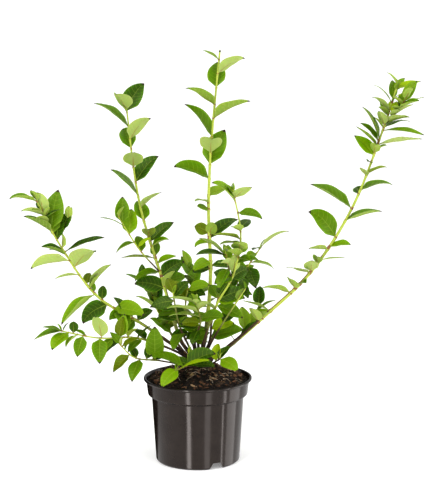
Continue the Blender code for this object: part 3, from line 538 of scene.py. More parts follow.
def clear_heart(plan, number):
    """The heart shoot, swung round the crown until its stem clears every limb."""
    for attempt in range(HEART_TRIES):
        swing = HEART_SWING * ((attempt + 1) // 2) * (1 if attempt % 2 else -1)
        shoot = heart_shoot(number, swing)
        path = shoot_path(shoot)
        radii = shoot.foot_radius, shoot.foot_radius
        limb = Limb(shoot.name, path, 0.0, path.length, *radii, STEM_SIDES)
        guard = Shape(*limb_mesh(limb, swell=2 * GAP), shoot.name)
        if not any(guard.touches(other) for other in plan.shapes):
            return shoot
    return None


def grow(plan, shoot, rng, bare_cane):
    """Adds a shoot's cane and the stems and twigs of its sprays. Returns the leaves to place."""
    path = shoot_path(shoot)
    jobs = []
    starts = [spray.start * path.length for spray in shoot.sprays] + [path.length]
    if bare_cane:
        radii = radius_at(shoot, path, 0.0), radius_at(shoot, path, starts[0])
        plan.add_limb(Limb(f"cane_{shoot.name}", path, 0.0, starts[0], *radii, CANE_SIDES))
    for spray, start, end in zip(shoot.sprays, starts, starts[1:]):
        radii = radius_at(shoot, path, start), radius_at(shoot, path, end)
        plan.add_limb(Limb(spray.name, path, start + GAP if start else 0.0, end, *radii, STEM_SIDES))
        first = start + STEM_MARGIN if bare_cane else HEART_BARE * path.length
        last = end - (TIP_MARGIN if end == path.length else STEM_MARGIN)
        jobs.append(Job(spray.name, path, first, last, radii, spray.leaves, spray.slim, rng))
        for twig in spray.twigs:
            root = path.at(start + twig.at * (end - start) + STEM_MARGIN)
            tip = Vector(twig.tip)
            middle = root.lerp(tip, 0.5) - Vector((0, 0, TWIG_SAG * (tip - root).length))
            side = Path([root, middle, tip])
            radii = twig.radius, twig.radius * TWIG_TAPER
            plan.add_limb(Limb(spray.name, side, 0.0, side.length, *radii, TWIG_SIDES))
            first = TWIG_BARE * side.length
            last = side.length - TIP_MARGIN
            jobs.append(Job(spray.name, side, first, last, radii, twig.leaves, spray.slim, rng))
    return jobs


def lay_out():
    """Limbs first, then leaves, so that no leaf takes a limb's place."""
    plan = Plan()
    jobs = []
    for number, shoot in enumerate(SHOOTS):
        jobs += grow(plan, shoot, random.Random(SEED + number), bare_cane=True)
    for number, shoot in enumerate(SHORT_SHOOTS):
        jobs += grow(plan, shoot, random.Random(SEED + len(SHOOTS) + number), bare_cane=False)
    for number in range(HEART_COUNT):
        shoot = clear_heart(plan, number)
        if shoot is not None:
            jobs += grow(plan, shoot, random.Random(2 * SEED + number), bare_cane=False)
    for job in jobs:
        for i, wanted in enumerate(job.leaves):
            share = i / max(1, len(job.leaves) - 1) if wanted.at is None else wanted.at
            s = job.first + (job.last - job.first) * share
            radius = job.radii[0] + (job.radii[1] - job.radii[0]) * share
            plan.add_leaf(job.node, job.path, s, radius, wanted, job.slim, job.rng)
    return plan


# ---------------------------------------------------------------- slots of the materials
# Of leaves, stems and soil, in the order of the lists that hold their materials.
LEAF_TOP, LEAF_UNDER, TOP_VEIN, UNDER_VEIN, PETIOLE, LEAF_TIP = range(6)
BARK_OLD, BARK_YOUNG, STEM_OLIVE, STEM_GREEN, STEM_BLUSH, BUD, DRY, CUT_FACE = range(8)
PEAT, CRUMB_BROWN, CHIP_RED, CHIP_TAN, FIBRE = range(5)
TOP_SLOTS = {"petiole": PETIOLE, "panel": LEAF_TOP, "vein": TOP_VEIN, "tip": LEAF_TIP}
UNDER_SLOTS = {"petiole": PETIOLE, "panel": LEAF_UNDER, "vein": UNDER_VEIN, "tip": LEAF_TIP}

# ---------------------------------------------------------------- sizes of the looks
VEIN_PAIRS = 7
FINE_VEIN_PAIRS = 3
VEIN_HALF = 0.0045  # half a vein's width, as a share of the leaf's length
FIRST_VEIN = 0.09  # shares of the length where the first and the last pair leave the midrib
LAST_VEIN = 0.85
VEIN_SWEEP = 0.27  # how far a vein runs towards the tip on its way to the margin
VEIN_CURVE = 1.35
VEIN_RELIEF = 0.10
PETIOLE_SHARE = 0.05
PETIOLE_RADIUS = 0.62
BLADE_THICK = 0.34
RIB_HALF = 0.75  # half the midrib's width at its foot
RIB_RELIEF = 0.45
FOLD_SINK = 0.42  # how much lower a folded blade sits, as a share of its half width
WAVE_TURN = 12.0  # radians of wave along the blade
MIDRIB_POINTS = 65
PUFF = 0.011  # rise of the blade between two veins, as a share of its length
COLUMNS = (0.0, 0.3, 0.58, 0.84, 1.0)  # from the midrib's edge to the margin
FINE_COLUMNS = (0.0, 0.5, 1.0)
OUTLINE = (  # along, half width as a share of the width
    (0.0, 0.03),
    (PETIOLE_SHARE, 0.035),
    (0.075, 0.11),
    (0.11, 0.22),
    (0.17, 0.345),
    (0.26, 0.455),
    (0.36, 0.5),
    (0.47, 0.5),
    (0.58, 0.465),
    (0.68, 0.4),
    (0.77, 0.315),
    (0.86, 0.21),
    (0.93, 0.115),
    (0.97, 0.05),
    (1.0, 0.0),
)

# How leaves differ: the lowest and the highest of each.
FOLDS = (6, 30)  # degrees that each half is folded up
CUPS = (-0.16, 0.14)  # rise of the margin, as a share of the half width
HOOKS = (-16, 34)  # degrees that the tip is bent down
SICKLES = (-0.045, 0.045)  # sideways bend, as a share of the length
TWISTS = (-16, 16)  # degrees
WAVES = (0.0, 0.06)  # of the margin, as a share of the half width
BREADTHS = (0.9, 1.06)

TUBE_SIDES = 12
TUBE_STEP = 2.4
NODE_SWELL = 0.28  # of the radius, where a leaf sits
NODE_REACH = 2.1
STEM_HOLD = (1.2, 0.5)  # a leaf sits on a stem whose axis is this many radii away, plus this
TIP_TAPER = 1.2  # length of a stem's end that narrows
RIDGES = (2.6, 0.10)  # of the bark: fineness round the stem and along it
GRAIN = (1.2, 0.5)  # the same for the finer grain
RIDGE_RELIEF = 0.05  # of the radius
OLD_RIDGE_RELIEF = 0.26  # more on old wood
GRAIN_RELIEF = 0.05

WOOD_REACH = 75.0  # bark covers about this much of a cane's foot
OLD_BARK = 0.42  # shares of that reach where old bark, young bark and olive skin end
YOUNG_BARK = 0.85
OLIVE_SKIN = 1.35
OLIVE_ABOVE = 2.4  # where olive skin ends on the upper side
BARK_WANDER = 26  # how far those ends wander up and down
TANNED_REACH = 235.0  # tanned skin on the upper side of the cane that leans out furthest
TANNED_BROWN = 0.45  # share of it, from the foot, that is brown: the rest is blushed
TANNED_WANDER = 90
BLUSH_REACH = 1.7  # round the node of a leaf
TONE_FINENESS = 0.09  # of the noise by which these zones wander

# Shares of WOOD_REACH. Any other cane has all of it.
BARK_SHARES = {"cane_centre": 0.55, "cane_left": 0.75, "cane_far_right": 0.55, "cane_right_inner": 0.7}
HEART_BARK = 1.0
SIDE_SHOOT_BARK = 0.35
CROWN_BARK = 1.6

BUD_LENGTH = (1.6, 2.8)
BUD_SLIM = 0.32  # its widest radius, as a share of its length
BUD_TURN = 45  # degrees that a bud points up from its leaf
BUD_SIDES = 7
BUD_PROFILE = ((0.0, 0.55), (0.25, 1.0), (0.55, 0.82), (0.82, 0.38), (1.0, 0.05))  # along, wide
DRY_TIP_LENGTH = 4.2  # the dead, dark end of the centre cane
DRY_TIP_WIDTH = 1.8

TUFT_LEAVES = 3
TUFT_SLIM = 0.72
HALF_GROWN = {"far_right_tip": 11, "far_left_tip": 4}  # leaves between the full ones
HALF_GROWN_STEP = 10.5
HALF_GROWN_LENGTH = (21.0, 33.0)
HALF_GROWN_RISE = (15, 50)
HALF_GROWN_SLIM = 0.8
FINE_SCALE = 0.6  # thickness of a small leaf, against a full one
FINE_SEED = 3800
LEAF_SEED = 500
FINE_LEAF_SEED = 9000

CROWN_GRID = (22, 48)
CROWN_SUNK = 2.2  # the dome lies this far inside its solid, before its knobs
POT_SIDES = 144
POT_ROUNDING = 0.9
LIP_PAINTED_SHADE = 0.4  # share of the lip's height, from its top down, painted in shade: darker, rougher and less glossy
SOIL_GRID = (54, 150)
SOIL_SUNK = 1.6  # the peat lies this far below the solid's surface, under the loose crumbs
SOIL_SWELLS = (0.07, 2.2)  # fineness and height of the soil's noises
SOIL_LUMPS = (0.22, 1.4)
SOIL_GRIT = (0.7, 0.8)
SOIL_SEED = 77
SOIL_CRUMBS = 2600
CRUMB_SIZES = (0.7, 0.9, 1.2, 1.6, 2.1)
CRUMB_SQUASH = (1.0, 0.8, 0.6)
LOOSE_KINDS = (PEAT, CRUMB_BROWN, CHIP_RED, CHIP_TAN)
CRUMB_MIX = (60, 30, 8, 2)  # of these kinds
CHIP_MIX = (32, 34, 26, 8)
SOIL_CHIPS = 520
CHIP_LENGTH = (3.5, 13.0)
CHIP_ALONG = (-0.5, -0.2, 0.2, 0.5)
SOIL_FIBRES = 60
FIBRE_KNEES = 7
FIBRE_SIDES = 5

# ---------------------------------------------------------------- colours, linear
# The deep tone is partly painted shade, a darker copy of the leaf, and the pale tone partly painted
# highlight, a lighter one; both also stand for real differences in the leaves' green.
TONES = {
    # upper side, under side
    "mature": ((0.096, 0.184, 0.001), (0.255, 0.350, 0.052)),
    "deep": ((0.030, 0.074, 0.001), (0.165, 0.245, 0.032)),
    "fresh": ((0.162, 0.278, 0.001), (0.322, 0.425, 0.078)),
    "young": ((0.310, 0.435, 0.002), (0.378, 0.478, 0.098)),
    "pale": ((0.195, 0.290, 0.012), (0.370, 0.455, 0.128)),
    "olive": ((0.115, 0.150, 0.001), (0.235, 0.290, 0.038)),
}
TONE_MIX = {
    "upright": {"mature": 4, "fresh": 4, "young": 1, "deep": 1, "pale": 1},
    # The heart leans to deep for painted shade among its crowded leaves, and to pale for painted
    # highlights between them.
    "heart": {"mature": 4, "deep": 5, "fresh": 3, "young": 1, "olive": 1, "pale": 2},
    "low": {"mature": 4, "fresh": 4, "pale": 2, "young": 1, "deep": 1},
    "bright": {"fresh": 5, "young": 5, "pale": 1, "mature": 1},
    "tip": {"fresh": 4, "young": 2, "mature": 3, "pale": 2},
}
TOP_VEIN_COLOR = (0.34, 0.48, 0.05)
UNDER_VEIN_COLOR = (0.42, 0.50, 0.16)
PETIOLE_COLOR = (0.30, 0.12, 0.035)
LEAF_TIP_COLOR = (0.035, 0.020, 0.018)


# ---------------------------------------------------------------- materials
class Surface:
    """A material with one Principled shader, and nodes that vary it."""

    def __init__(self, name, color, roughness, specular=0.5):
        self.material = bpy.data.materials.new(name)
        self.material.use_nodes = True
        self.nodes = self.material.node_tree.nodes
        self.links = self.material.node_tree.links
        self.shader = self.nodes["Principled BSDF"]
        self.set("Base Color", (*color, 1.0))
        self.set("Roughness", roughness)
        self.set("Specular IOR Level", specular)
        self.where = self.nodes.new("ShaderNodeTexCoord").outputs["Object"]
        self.bumped = None

    def set(self, socket, value):
        self.shader.inputs[socket].default_value = value

    def node(self, kind, **values):
        """A new node with some inputs set: From_Min stands for the input From Min."""
        made = self.nodes.new(kind)
        for name, value in values.items():
            made.inputs[name.replace("_", " ")].default_value = value
        return made

    def noise(self, scale, detail=3.0, roughness=0.55, stretch=1.0):
        """A noise over the object's own space, with scale in features per metre. A stretch under 1
        draws it out along the plant's height."""
        made = self.node("ShaderNodeTexNoise", Scale=scale, Detail=detail, Roughness=roughness)
        where = self.where
        if stretch != 1.0:
            mapping = self.node("ShaderNodeMapping", Scale=(1, 1, stretch))
            self.links.new(self.where, mapping.inputs["Vector"])
            where = mapping.outputs["Vector"]
        self.links.new(where, made.inputs["Vector"])
        return made.outputs["Fac"]

    def rough(self, value, low, high):
        """Roughness from low to high over the middle of a value's range."""
        made = self.node("ShaderNodeMapRange", From_Min=0.3, From_Max=0.7, To_Min=low, To_Max=high)
        self.links.new(value, made.inputs["Value"])
        self.links.new(made.outputs["Result"], self.shader.inputs["Roughness"])

    def bump(self, height, distance):
        """Relief of a height in metres, over any relief that is there already."""
        made = self.node("ShaderNodeBump", Distance=distance, Strength=1.0)
        self.links.new(height, made.inputs["Height"])
        if self.bumped:
            self.links.new(self.bumped, made.inputs["Normal"])
        self.bumped = made.outputs["Normal"]
        self.links.new(self.bumped, self.shader.inputs["Normal"])

    def tint(self, value, *stops):
        """Colours the surface by a ramp over a value: (place, colour) for each of its two stops."""
        ramp = self.nodes.new("ShaderNodeValToRGB")
        for i, (place, color) in enumerate(stops):
            stop = ramp.color_ramp.elements[i]
            stop.position = place
            stop.color = (*color, 1.0)
        self.links.new(value, ramp.inputs["Fac"])
        self.links.new(ramp.outputs["Color"], self.shader.inputs["Base Color"])


def leaf_surface(name, color, low, high, relief, glow):
    """A leaf's skin: one plain colour, with uneven gloss, fine relief and light that soaks in."""
    made = Surface(name, color, (low + high) / 2, specular=0.32)
    made.set("Specular Tint", (0.85, 1.0, 0.45, 1.0))
    made.rough(made.noise(240.0), low, high)
    made.bump(made.noise(900.0), relief)
    made.set("Subsurface Weight", glow)
    made.set("Subsurface Radius", (0.5, 1.0, 0.15))
    made.set("Subsurface Scale", 0.0012)
    return made.material


def mixed(a, b, share):
    return tuple(x + (y - x) * share for x, y in zip(a, b))


def leaf_surfaces(tone):
    """In the order of a leaf's slots."""
    top, under = TONES[tone]
    looks = (
        ("top", top, 0.30, 0.48, 0.00012, 0.22),
        ("under", under, 0.55, 0.72, 0.00010, 0.22),
        ("top_vein", mixed(top, TOP_VEIN_COLOR, 0.32), 0.34, 0.5, 0.0001, 0.2),
        ("under_vein", mixed(under, UNDER_VEIN_COLOR, 0.55), 0.5, 0.65, 0.0001, 0.2),
        ("petiole", mixed(under, PETIOLE_COLOR, 0.62), 0.4, 0.55, 0.0001, 0.1),
        ("tip", LEAF_TIP_COLOR, 0.5, 0.65, 0.0001, 0.0),
    )
    return [leaf_surface(f"leaf_{tone}_{name}", *values) for name, *values in looks]


def stem_surfaces():
    """From old bark to young green, then the red-brown blush, the buds, dead wood and cut wood."""
    old = Surface("bark_old", (0.028, 0.014, 0.009), 0.85)
    fleck = old.noise(420.0, 5.0, stretch=0.35)
    old.tint(fleck, (0.25, (0.011, 0.006, 0.004)), (0.75, (0.060, 0.033, 0.019)))
    old.bump(old.noise(700.0, 6.0, 0.65, stretch=0.3), 0.0006)
    brown = Surface("bark_young", (0.070, 0.037, 0.016), 0.7)
    fleck = brown.noise(380.0, 4.0, stretch=0.4)
    brown.tint(fleck, (0.3, (0.036, 0.018, 0.009)), (0.7, (0.120, 0.070, 0.026)))
    brown.bump(brown.noise(800.0, 5.0, stretch=0.4), 0.0004)
    olive = Surface("stem_olive", (0.20, 0.22, 0.045), 0.55)
    olive.tint(olive.noise(300.0, 4.0), (0.3, (0.130, 0.120, 0.026)), (0.7, (0.27, 0.32, 0.055)))
    olive.bump(olive.noise(900.0, 4.0), 0.0002)
    green = Surface("stem_green", (0.42, 0.50, 0.055), 0.45)
    green.tint(green.noise(260.0, 4.0), (0.3, (0.36, 0.44, 0.045)), (0.7, (0.50, 0.58, 0.075)))
    green.rough(green.noise(500.0), 0.36, 0.55)
    green.bump(green.noise(1000.0, 4.0), 0.00015)
    blush = Surface("stem_blush", (0.22, 0.085, 0.03), 0.5)
    blush.tint(blush.noise(320.0, 4.0), (0.3, (0.17, 0.050, 0.022)), (0.7, (0.34, 0.20, 0.04)))
    blush.bump(blush.noise(900.0, 4.0), 0.0002)
    bud = Surface("bud", (0.22, 0.09, 0.03), 0.5)
    bud.tint(bud.noise(600.0, 3.0), (0.35, (0.15, 0.045, 0.018)), (0.65, (0.36, 0.26, 0.05)))
    bud.bump(bud.noise(1200.0, 3.0), 0.0002)
    dry = Surface("dry_tip", (0.012, 0.009, 0.008), 0.8)
    dry.bump(dry.noise(1500.0, 4.0), 0.0003)
    cut = Surface("cut_wood", (0.40, 0.30, 0.12), 0.8)
    cut.tint(cut.noise(700.0, 4.0), (0.3, (0.30, 0.21, 0.080)), (0.7, (0.52, 0.42, 0.19)))
    cut.bump(cut.noise(1300.0, 4.0), 0.0003)
    return [made.material for made in (old, brown, olive, green, blush, bud, dry, cut)]


def pot_surface(name, clean, dusty, low, high, specular):
    """Thin moulded plastic: satin, with faint draw lines and dust."""
    made = Surface(name, clean, (low + high) / 2, specular)
    made.set("Specular Tint", (1.0, 0.93, 0.90, 1.0))
    made.tint(made.noise(38.0, 5.0, 0.6), (0.30, clean), (0.72, dusty))
    made.rough(made.noise(55.0, 4.0, 0.6, stretch=0.25), low, high)
    made.bump(made.noise(26.0, 2.0, stretch=0.12), 0.0006)
    made.bump(made.noise(900.0), 0.00001)
    return made.material


def soil_surfaces():
    """Damp peat, then brown, red-brown and tan bark chips, and pale fibre."""
    surfaces = []
    for name, dark, light, roughness, relief in (
        ("peat", (0.003, 0.002, 0.0015), (0.020, 0.011, 0.007), 0.95, 0.0012),
        ("crumb_brown", (0.015, 0.008, 0.004), (0.070, 0.036, 0.018), 0.9, 0.0006),
        ("chip_red", (0.060, 0.024, 0.010), (0.215, 0.098, 0.044), 0.7, 0.0005),
        ("chip_tan", (0.180, 0.105, 0.050), (0.430, 0.290, 0.165), 0.7, 0.0004),
        ("fibre", (0.360, 0.270, 0.180), (0.700, 0.590, 0.450), 0.7, 0.0001),
    ):
        made = Surface(name, mixed(dark, light, 0.5), roughness)
        made.tint(made.noise(330.0, 5.0, 0.6), (0.3, dark), (0.7, light))
        made.bump(made.noise(650.0, 5.0, 0.65), relief)
        surfaces.append(made.material)
    return surfaces


# ---------------------------------------------------------------- meshes joined by kind
class Bundle:
    """Triangles of many small things of one kind, made into one piece."""

    def __init__(self):
        self.parts = []

    def add(self, verts, faces, slots):
        verts = np.array([tuple(v) for v in verts], float)
        faces = np.asarray(faces, int)
        slots = np.broadcast_to(np.asarray(slots, int), len(faces))
        self.parts.append((verts, faces, slots))

    def make(self, name, surfaces, slot, nodes, sharp=math.radians(60)):
        """The piece rides on the plant and stands for the nodes it replaces."""
        dress(joined(name, self.parts, surfaces, sharp), nodes)


def linked(name, data):
    """A new object in the scene."""
    made = bpy.data.objects.new(name, data)
    bpy.context.scene.collection.objects.link(made)
    return made


def joined(name, parts, surfaces, sharp):
    starts = np.cumsum([0] + [len(verts) for verts, _, _ in parts])
    verts = np.concatenate([verts for verts, _, _ in parts]) * MM
    faces = np.concatenate([faces + start for (_, faces, _), start in zip(parts, starts)])
    slots = np.concatenate([slots for _, _, slots in parts])
    mesh = bpy.data.meshes.new(name)
    mesh.vertices.add(len(verts))
    mesh.vertices.foreach_set("co", verts.ravel().astype(np.float32))
    mesh.loops.add(faces.size)
    mesh.loops.foreach_set("vertex_index", faces.ravel().astype(np.int32))
    mesh.polygons.add(len(faces))
    mesh.polygons.foreach_set("loop_start", np.arange(0, faces.size, 3, dtype=np.int32))
    for surface in surfaces:
        mesh.materials.append(surface)
    mesh.polygons.foreach_set("material_index", slots.astype(np.int32))
    mesh.update(calc_edges=True)
    mesh.shade_smooth()
    mesh.set_sharp_from_angle(angle=sharp)
    return linked(name, mesh)


def dress(piece, nodes):
    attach(piece, "root")
    if nodes:
        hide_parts(*nodes)


def grid_faces(rows, columns, wrap=False):
    """Triangles over a grid of vertices, row by row, round and round where it wraps."""
    faces = []
    for i in range(rows - 1):
        for k in range(columns if wrap else columns - 1):
            a = i * columns + k
            b = i * columns + (k + 1) % columns
            faces += [(a, b, b + columns), (a, b + columns, a + columns)]
    return faces


# ---------------------------------------------------------------- leaves with veins
class Blade:
    """The grid that all leaves of one fineness share. Its rows run along the side veins."""

    def __init__(self, vein_pairs, columns):
        rows = [(0.0, "petiole"), (PETIOLE_SHARE / 2, "petiole"), (PETIOLE_SHARE, "panel")]
        gap = (LAST_VEIN - FIRST_VEIN) / (vein_pairs - 1)
        for k in range(vein_pairs):
            middle = FIRST_VEIN + gap * k
            rows += [(middle - VEIN_HALF, "vein"), (middle + VEIN_HALF, "panel")]
            if k < vein_pairs - 1:
                rows.append((middle + gap / 2, "panel"))
        rows += [(0.90, "panel"), (0.925, "tip"), (0.955, "tip"), (0.985, "tip")]
        self.along = np.array([t for t, _ in rows])
        kinds = [kind for _, kind in rows]
        raised = [kind == "panel" and kinds[i - 1] == "panel" for i, kind in enumerate(kinds)]
        self.raised = np.array(raised, float)
        self.outward = np.array([-c for c in reversed(columns)] + list(columns))
        self.side = np.array([-1.0] * len(columns) + [1.0] * len(columns))
        self.faces, self.slots = self.skin(kinds, len(self.outward))

    def skin(self, kinds, count):
        """Triangles of both sides, which share the vertices of the margin, and the slot of each."""
        faces = []
        slots = []
        below = len(kinds) * count
        tip = 2 * below
        for i in range(len(kinds) - 1):
            for k in range(count - 1):
                upper = TOP_SLOTS[kinds[i]]
                lower = UNDER_SLOTS[kinds[i]]
                if k == count // 2 - 1 and kinds[i] in ("panel", "vein"):
                    upper = TOP_VEIN
                    lower = PETIOLE if self.along[i] < 0.5 else UNDER_VEIN
                a = i * count + k
                b, c, d = a + 1, a + count + 1, a + count
                faces += [(a, b, c), (a, c, d)]
                slots += [upper, upper]
                a, b, c, d = a + below, b + below, c + below, d + below
                faces += [(a, c, b), (a, d, c)]
                slots += [lower, lower]
        for k in range(count - 1):
            a = below - count + k
            faces += [(a, a + 1, tip), (a + below, tip, a + 1 + below)]
            faces += [(k, k + below, k + 1 + below), (k, k + 1 + below, k + 1)]
            slots += [LEAF_TIP, LEAF_TIP, PETIOLE, PETIOLE]
        faces = np.array(faces)
        for row in range(len(kinds)):
            for edge in (row * count, row * count + count - 1):
                faces[faces == edge + below] = edge
        keep = (faces[:, 0] != faces[:, 1]) & (faces[:, 1] != faces[:, 2]) & (faces[:, 0] != faces[:, 2])
        return faces[keep], np.array(slots)[keep]

    def verts(self, leaf, rng, scale=1.0):
        """Vertices of one leaf: folded along its midrib, cupped, waved, twisted and curved."""
        fold = math.radians(rng.uniform(*FOLDS))
        cup = rng.uniform(*CUPS)
        hook = math.radians(rng.uniform(*HOOKS))
        sickle = rng.uniform(*SICKLES)
        twist = math.radians(rng.uniform(*TWISTS))
        wave = rng.uniform(*WAVES)
        phase = rng.uniform(0, 2 * math.pi)
        broad = rng.uniform(*BREADTHS)
        length = leaf.length
        turn = math.radians(leaf.heading)
        flat = np.array((math.cos(turn), math.sin(turn), 0.0))
        across_level = np.array((-math.sin(turn), math.cos(turn), 0.0))
        up = np.array((0.0, 0.0, 1.0))

        # the midrib, bent down as an arc, with a hook at its tip
        fine = np.linspace(0, 1, MIDRIB_POINTS)
        droop = math.radians(LEAF_DROOP)
        slope = math.radians(leaf.rise) + droop / 2 - droop * fine - hook * fine**4 + hook * 0.12
        step = length / (len(fine) - 1)
        run = np.concatenate([[0], np.cumsum(np.cos(slope[:-1]) * step)])
        climb = np.concatenate([[0], np.cumsum(np.sin(slope[:-1]) * step)])

        out = np.abs(self.outward)[None, :]
        t = self.along[:, None]
        blend = np.clip((t - PETIOLE_SHARE) / 0.06, 0, 1)
        v = t + (1 - t) * VEIN_SWEEP * out**VEIN_CURVE * blend
        half = np.interp(v, [p for p, _ in OUTLINE], [w for _, w in OUTLINE])
        half = half * LEAF_WIDTH * leaf.slim * length
        half = np.maximum(half * broad, np.where(v < 0.9, PETIOLE_RADIUS * scale, 0.0))
        rib = np.minimum(RIB_HALF * scale * (1.1 - v), half * 0.45)
        reach = rib + (half - rib) * out
        share = reach / np.maximum(half, 1e-6)
        soft = np.clip((v - PETIOLE_SHARE) / 0.2, 0, 1)
        side = self.side[None, :]
        sideways = side * reach * np.cos(fold * soft)
        height = reach * np.sin(fold * soft) - FOLD_SINK * half * np.sin(fold * soft)
        height += cup * half * share**3 * soft
        height += wave * half * share**2 * np.sin(v * WAVE_TURN + phase * side) * soft
        height += self.raised[:, None] * PUFF * length * np.sin(np.pi * np.clip(out, 0, 1)) * soft * scale

        slope_at = np.interp(v, fine, slope)
        roll = leaf.roll + twist * (v - 0.3)
        upright = up * np.cos(slope_at)[..., None] - flat * np.sin(slope_at)[..., None]
        across = across_level * np.cos(roll)[..., None] + upright * np.sin(roll)[..., None]
        normal = upright * np.cos(roll)[..., None] - across_level * np.sin(roll)[..., None]
        middle = flat * np.interp(v, fine, run)[..., None] + up * np.interp(v, fine, climb)[..., None]
        middle = middle + across_level * (sickle * length * v**2)[..., None]
        centre = np.array(leaf.root) + middle + across * sideways[..., None]

        edge = 1 - np.clip(share, 0, 1) ** 2
        petiole = np.clip(1 - (v - PETIOLE_SHARE) / 0.12, 0, 1)
        thick = scale * (BLADE_THICK + petiole * PETIOLE_RADIUS * 1.5) * edge
        ridge = np.where(share < 0.5, RIB_RELIEF, 0.0) * scale * (1 - v) * (out < 0.01)
        vein = (1 - self.raised[:, None]) * VEIN_RELIEF * scale * edge
        top = centre + normal * (height + thick / 2)[..., None]
        under = centre + normal * (height - thick / 2 - ridge - vein)[..., None]
        tip = np.array(leaf.root) + flat * run[-1] + up * climb[-1] + across_level * sickle * length
        return np.concatenate([top.reshape(-1, 3), under.reshape(-1, 3), tip[None, :]])


# ---------------------------------------------------------------- limbs with bark
def noise_at(x, y, z):
    return noise.noise(Vector((x, y, z)))


def smooth(low, high, value):
    share = min(max((value - low) / (high - low), 0.0), 1.0)
    return share * share * (3 - 2 * share)


class Stem:
    """One whole shoot or twig: its path, its radius along the way and where its leaves sit."""

    def __init__(self, limb):
        self.path = limb.path
        self.stretches = [limb]
        self.nodes = []
        self.cut = limb.node == "cane_pruned"
        self.tanned = TANNED_REACH if limb.node == "cane_far_right" else 0.0

    def radius(self, s):
        for limb in self.stretches:
            if s <= limb.end or limb is self.stretches[-1]:
                share = min(max((s - limb.start) / (limb.end - limb.start), 0.0), 1.0)
                return limb.radius_start + (limb.radius_end - limb.radius_start) * share


def stem_tone(stem, woody, s, level, rise):
    """The slot of the skin at s. level is a noise, and rise tells how far the skin faces up."""
    old = s + BARK_WANDER * level
    if rise > 0.1 and old < stem.tanned * TANNED_BROWN:
        return BARK_YOUNG
    if rise > 0.45 and s + TANNED_WANDER * level < stem.tanned:
        return STEM_BLUSH
    if old < WOOD_REACH * OLD_BARK * woody:
        return BARK_OLD
    if old < WOOD_REACH * YOUNG_BARK * woody:
        return BARK_YOUNG
    if old < WOOD_REACH * (OLIVE_ABOVE if rise > 0.35 else OLIVE_SKIN) * woody:
        return STEM_OLIVE
    if any(abs(s - at) < BLUSH_REACH for at in stem.nodes) and level + 0.25 * rise > -0.02:
        return STEM_BLUSH
    return STEM_GREEN


def stem_tube(bundle, stem, woody, seed, sides=TUBE_SIDES, step=TUBE_STEP):
    """A tapering tube with nodes that swell and bark whose ridges fade up the shoot."""
    path = stem.path
    start = stem.stretches[0].start
    end = stem.stretches[-1].end
    count = max(4, round((end - start) / step) + 1)
    verts = []
    tones = []
    side = path.along(start).orthogonal().normalized()
    for i in range(count):
        s = start + (end - start) * i / (count - 1)
        middle = path.at(s)
        way = path.along(s)
        side = (side - way * side.dot(way)).normalized()
        up = way.cross(side)
        age = woody * (1 - smooth(0.25 * WOOD_REACH, WOOD_REACH, s))
        swell = sum(math.exp(-(((s - at) / NODE_REACH) ** 2)) for at in stem.nodes)
        radius = stem.radius(s) * (1 + NODE_SWELL * min(swell, 1.0))
        if end - s < TIP_TAPER and not stem.cut:
            radius *= 0.45 + 0.45 * (end - s) / TIP_TAPER
        for turn in turns(sides):
            x = math.cos(turn)
            y = math.sin(turn)
            out = side * x + up * y
            ridge = noise_at(x * RIDGES[0], y * RIDGES[0], s * RIDGES[1] + seed)
            grain = noise_at(x * GRAIN[0], y * GRAIN[0], s * GRAIN[1] - seed)
            bark = 1 + (RIDGE_RELIEF + OLD_RIDGE_RELIEF * age) * ridge + GRAIN_RELIEF * grain
            verts.append(middle + out * radius * bark)
            spot = [place * TONE_FINENESS for place in middle]
            level = noise_at(spot[0], spot[1], spot[2] + turn)
            tones.append(stem_tone(stem, woody, s, level, out.z))
    faces = grid_faces(count, sides, wrap=True)
    slots = [tones[face[0]] for face in faces]
    verts.append(path.at(start))
    verts.append(path.at(end) + path.along(end) * radius * (0.1 if stem.cut else 0.6))
    last = (count - 1) * sides
    for k in range(sides):
        faces.append(((k + 1) % sides, k, len(verts) - 2))
        faces.append((last + k, last + (k + 1) % sides, len(verts) - 1))
        slots += [tones[k], CUT_FACE if stem.cut else tones[last + k]]
    bundle.add(verts, faces, slots)


def bud(bundle, root, way, length, width, slot):
    """A pointed bud: a few rings round its own axis."""
    way = Vector(way).normalized()
    side = way.orthogonal().normalized()
    up = way.cross(side)
    verts = []
    for along, wide in BUD_PROFILE:
        for turn in turns(BUD_SIDES):
            out = side * math.cos(turn) + up * math.sin(turn)
            verts.append(root + way * along * length + out * wide * width)
    bundle.add(verts, grid_faces(len(BUD_PROFILE), BUD_SIDES, wrap=True), slot)


# ---------------------------------------------------------------- finer growth
def grow_tuft(plan, limb, rng):
    """Small leaves that unfold at the end of a shoot."""
    start = rng.uniform(0, 360)
    for k in range(TUFT_LEAVES):
        s = limb.path.length - 5.0 + 2.0 * k
        wanted = Wanted(None, (start + TURN * k) % 360, 48 + 9 * k, 17 - 3.5 * k, None, "")
        plan.add_leaf(limb.node, limb.path, s, limb.radius_end, wanted, TUFT_SLIM, rng)


def grow_between(plan, limb, rng):
    """Half-grown leaves between the full ones, towards the end of a shoot that is still growing."""
    start = rng.uniform(0, 360)
    for k in range(HALF_GROWN.get(limb.node, 0)):
        s = limb.path.length - 10.0 - HALF_GROWN_STEP * k
        if s < 6.0:
            break
        length = rng.uniform(*HALF_GROWN_LENGTH)
        rise = rng.uniform(*HALF_GROWN_RISE)
        wanted = Wanted(None, (start + TURN * k) % 360, rise, length, None, "")
        plan.add_leaf(limb.node, limb.path, s, limb.radius_end, wanted, HALF_GROWN_SLIM, rng)


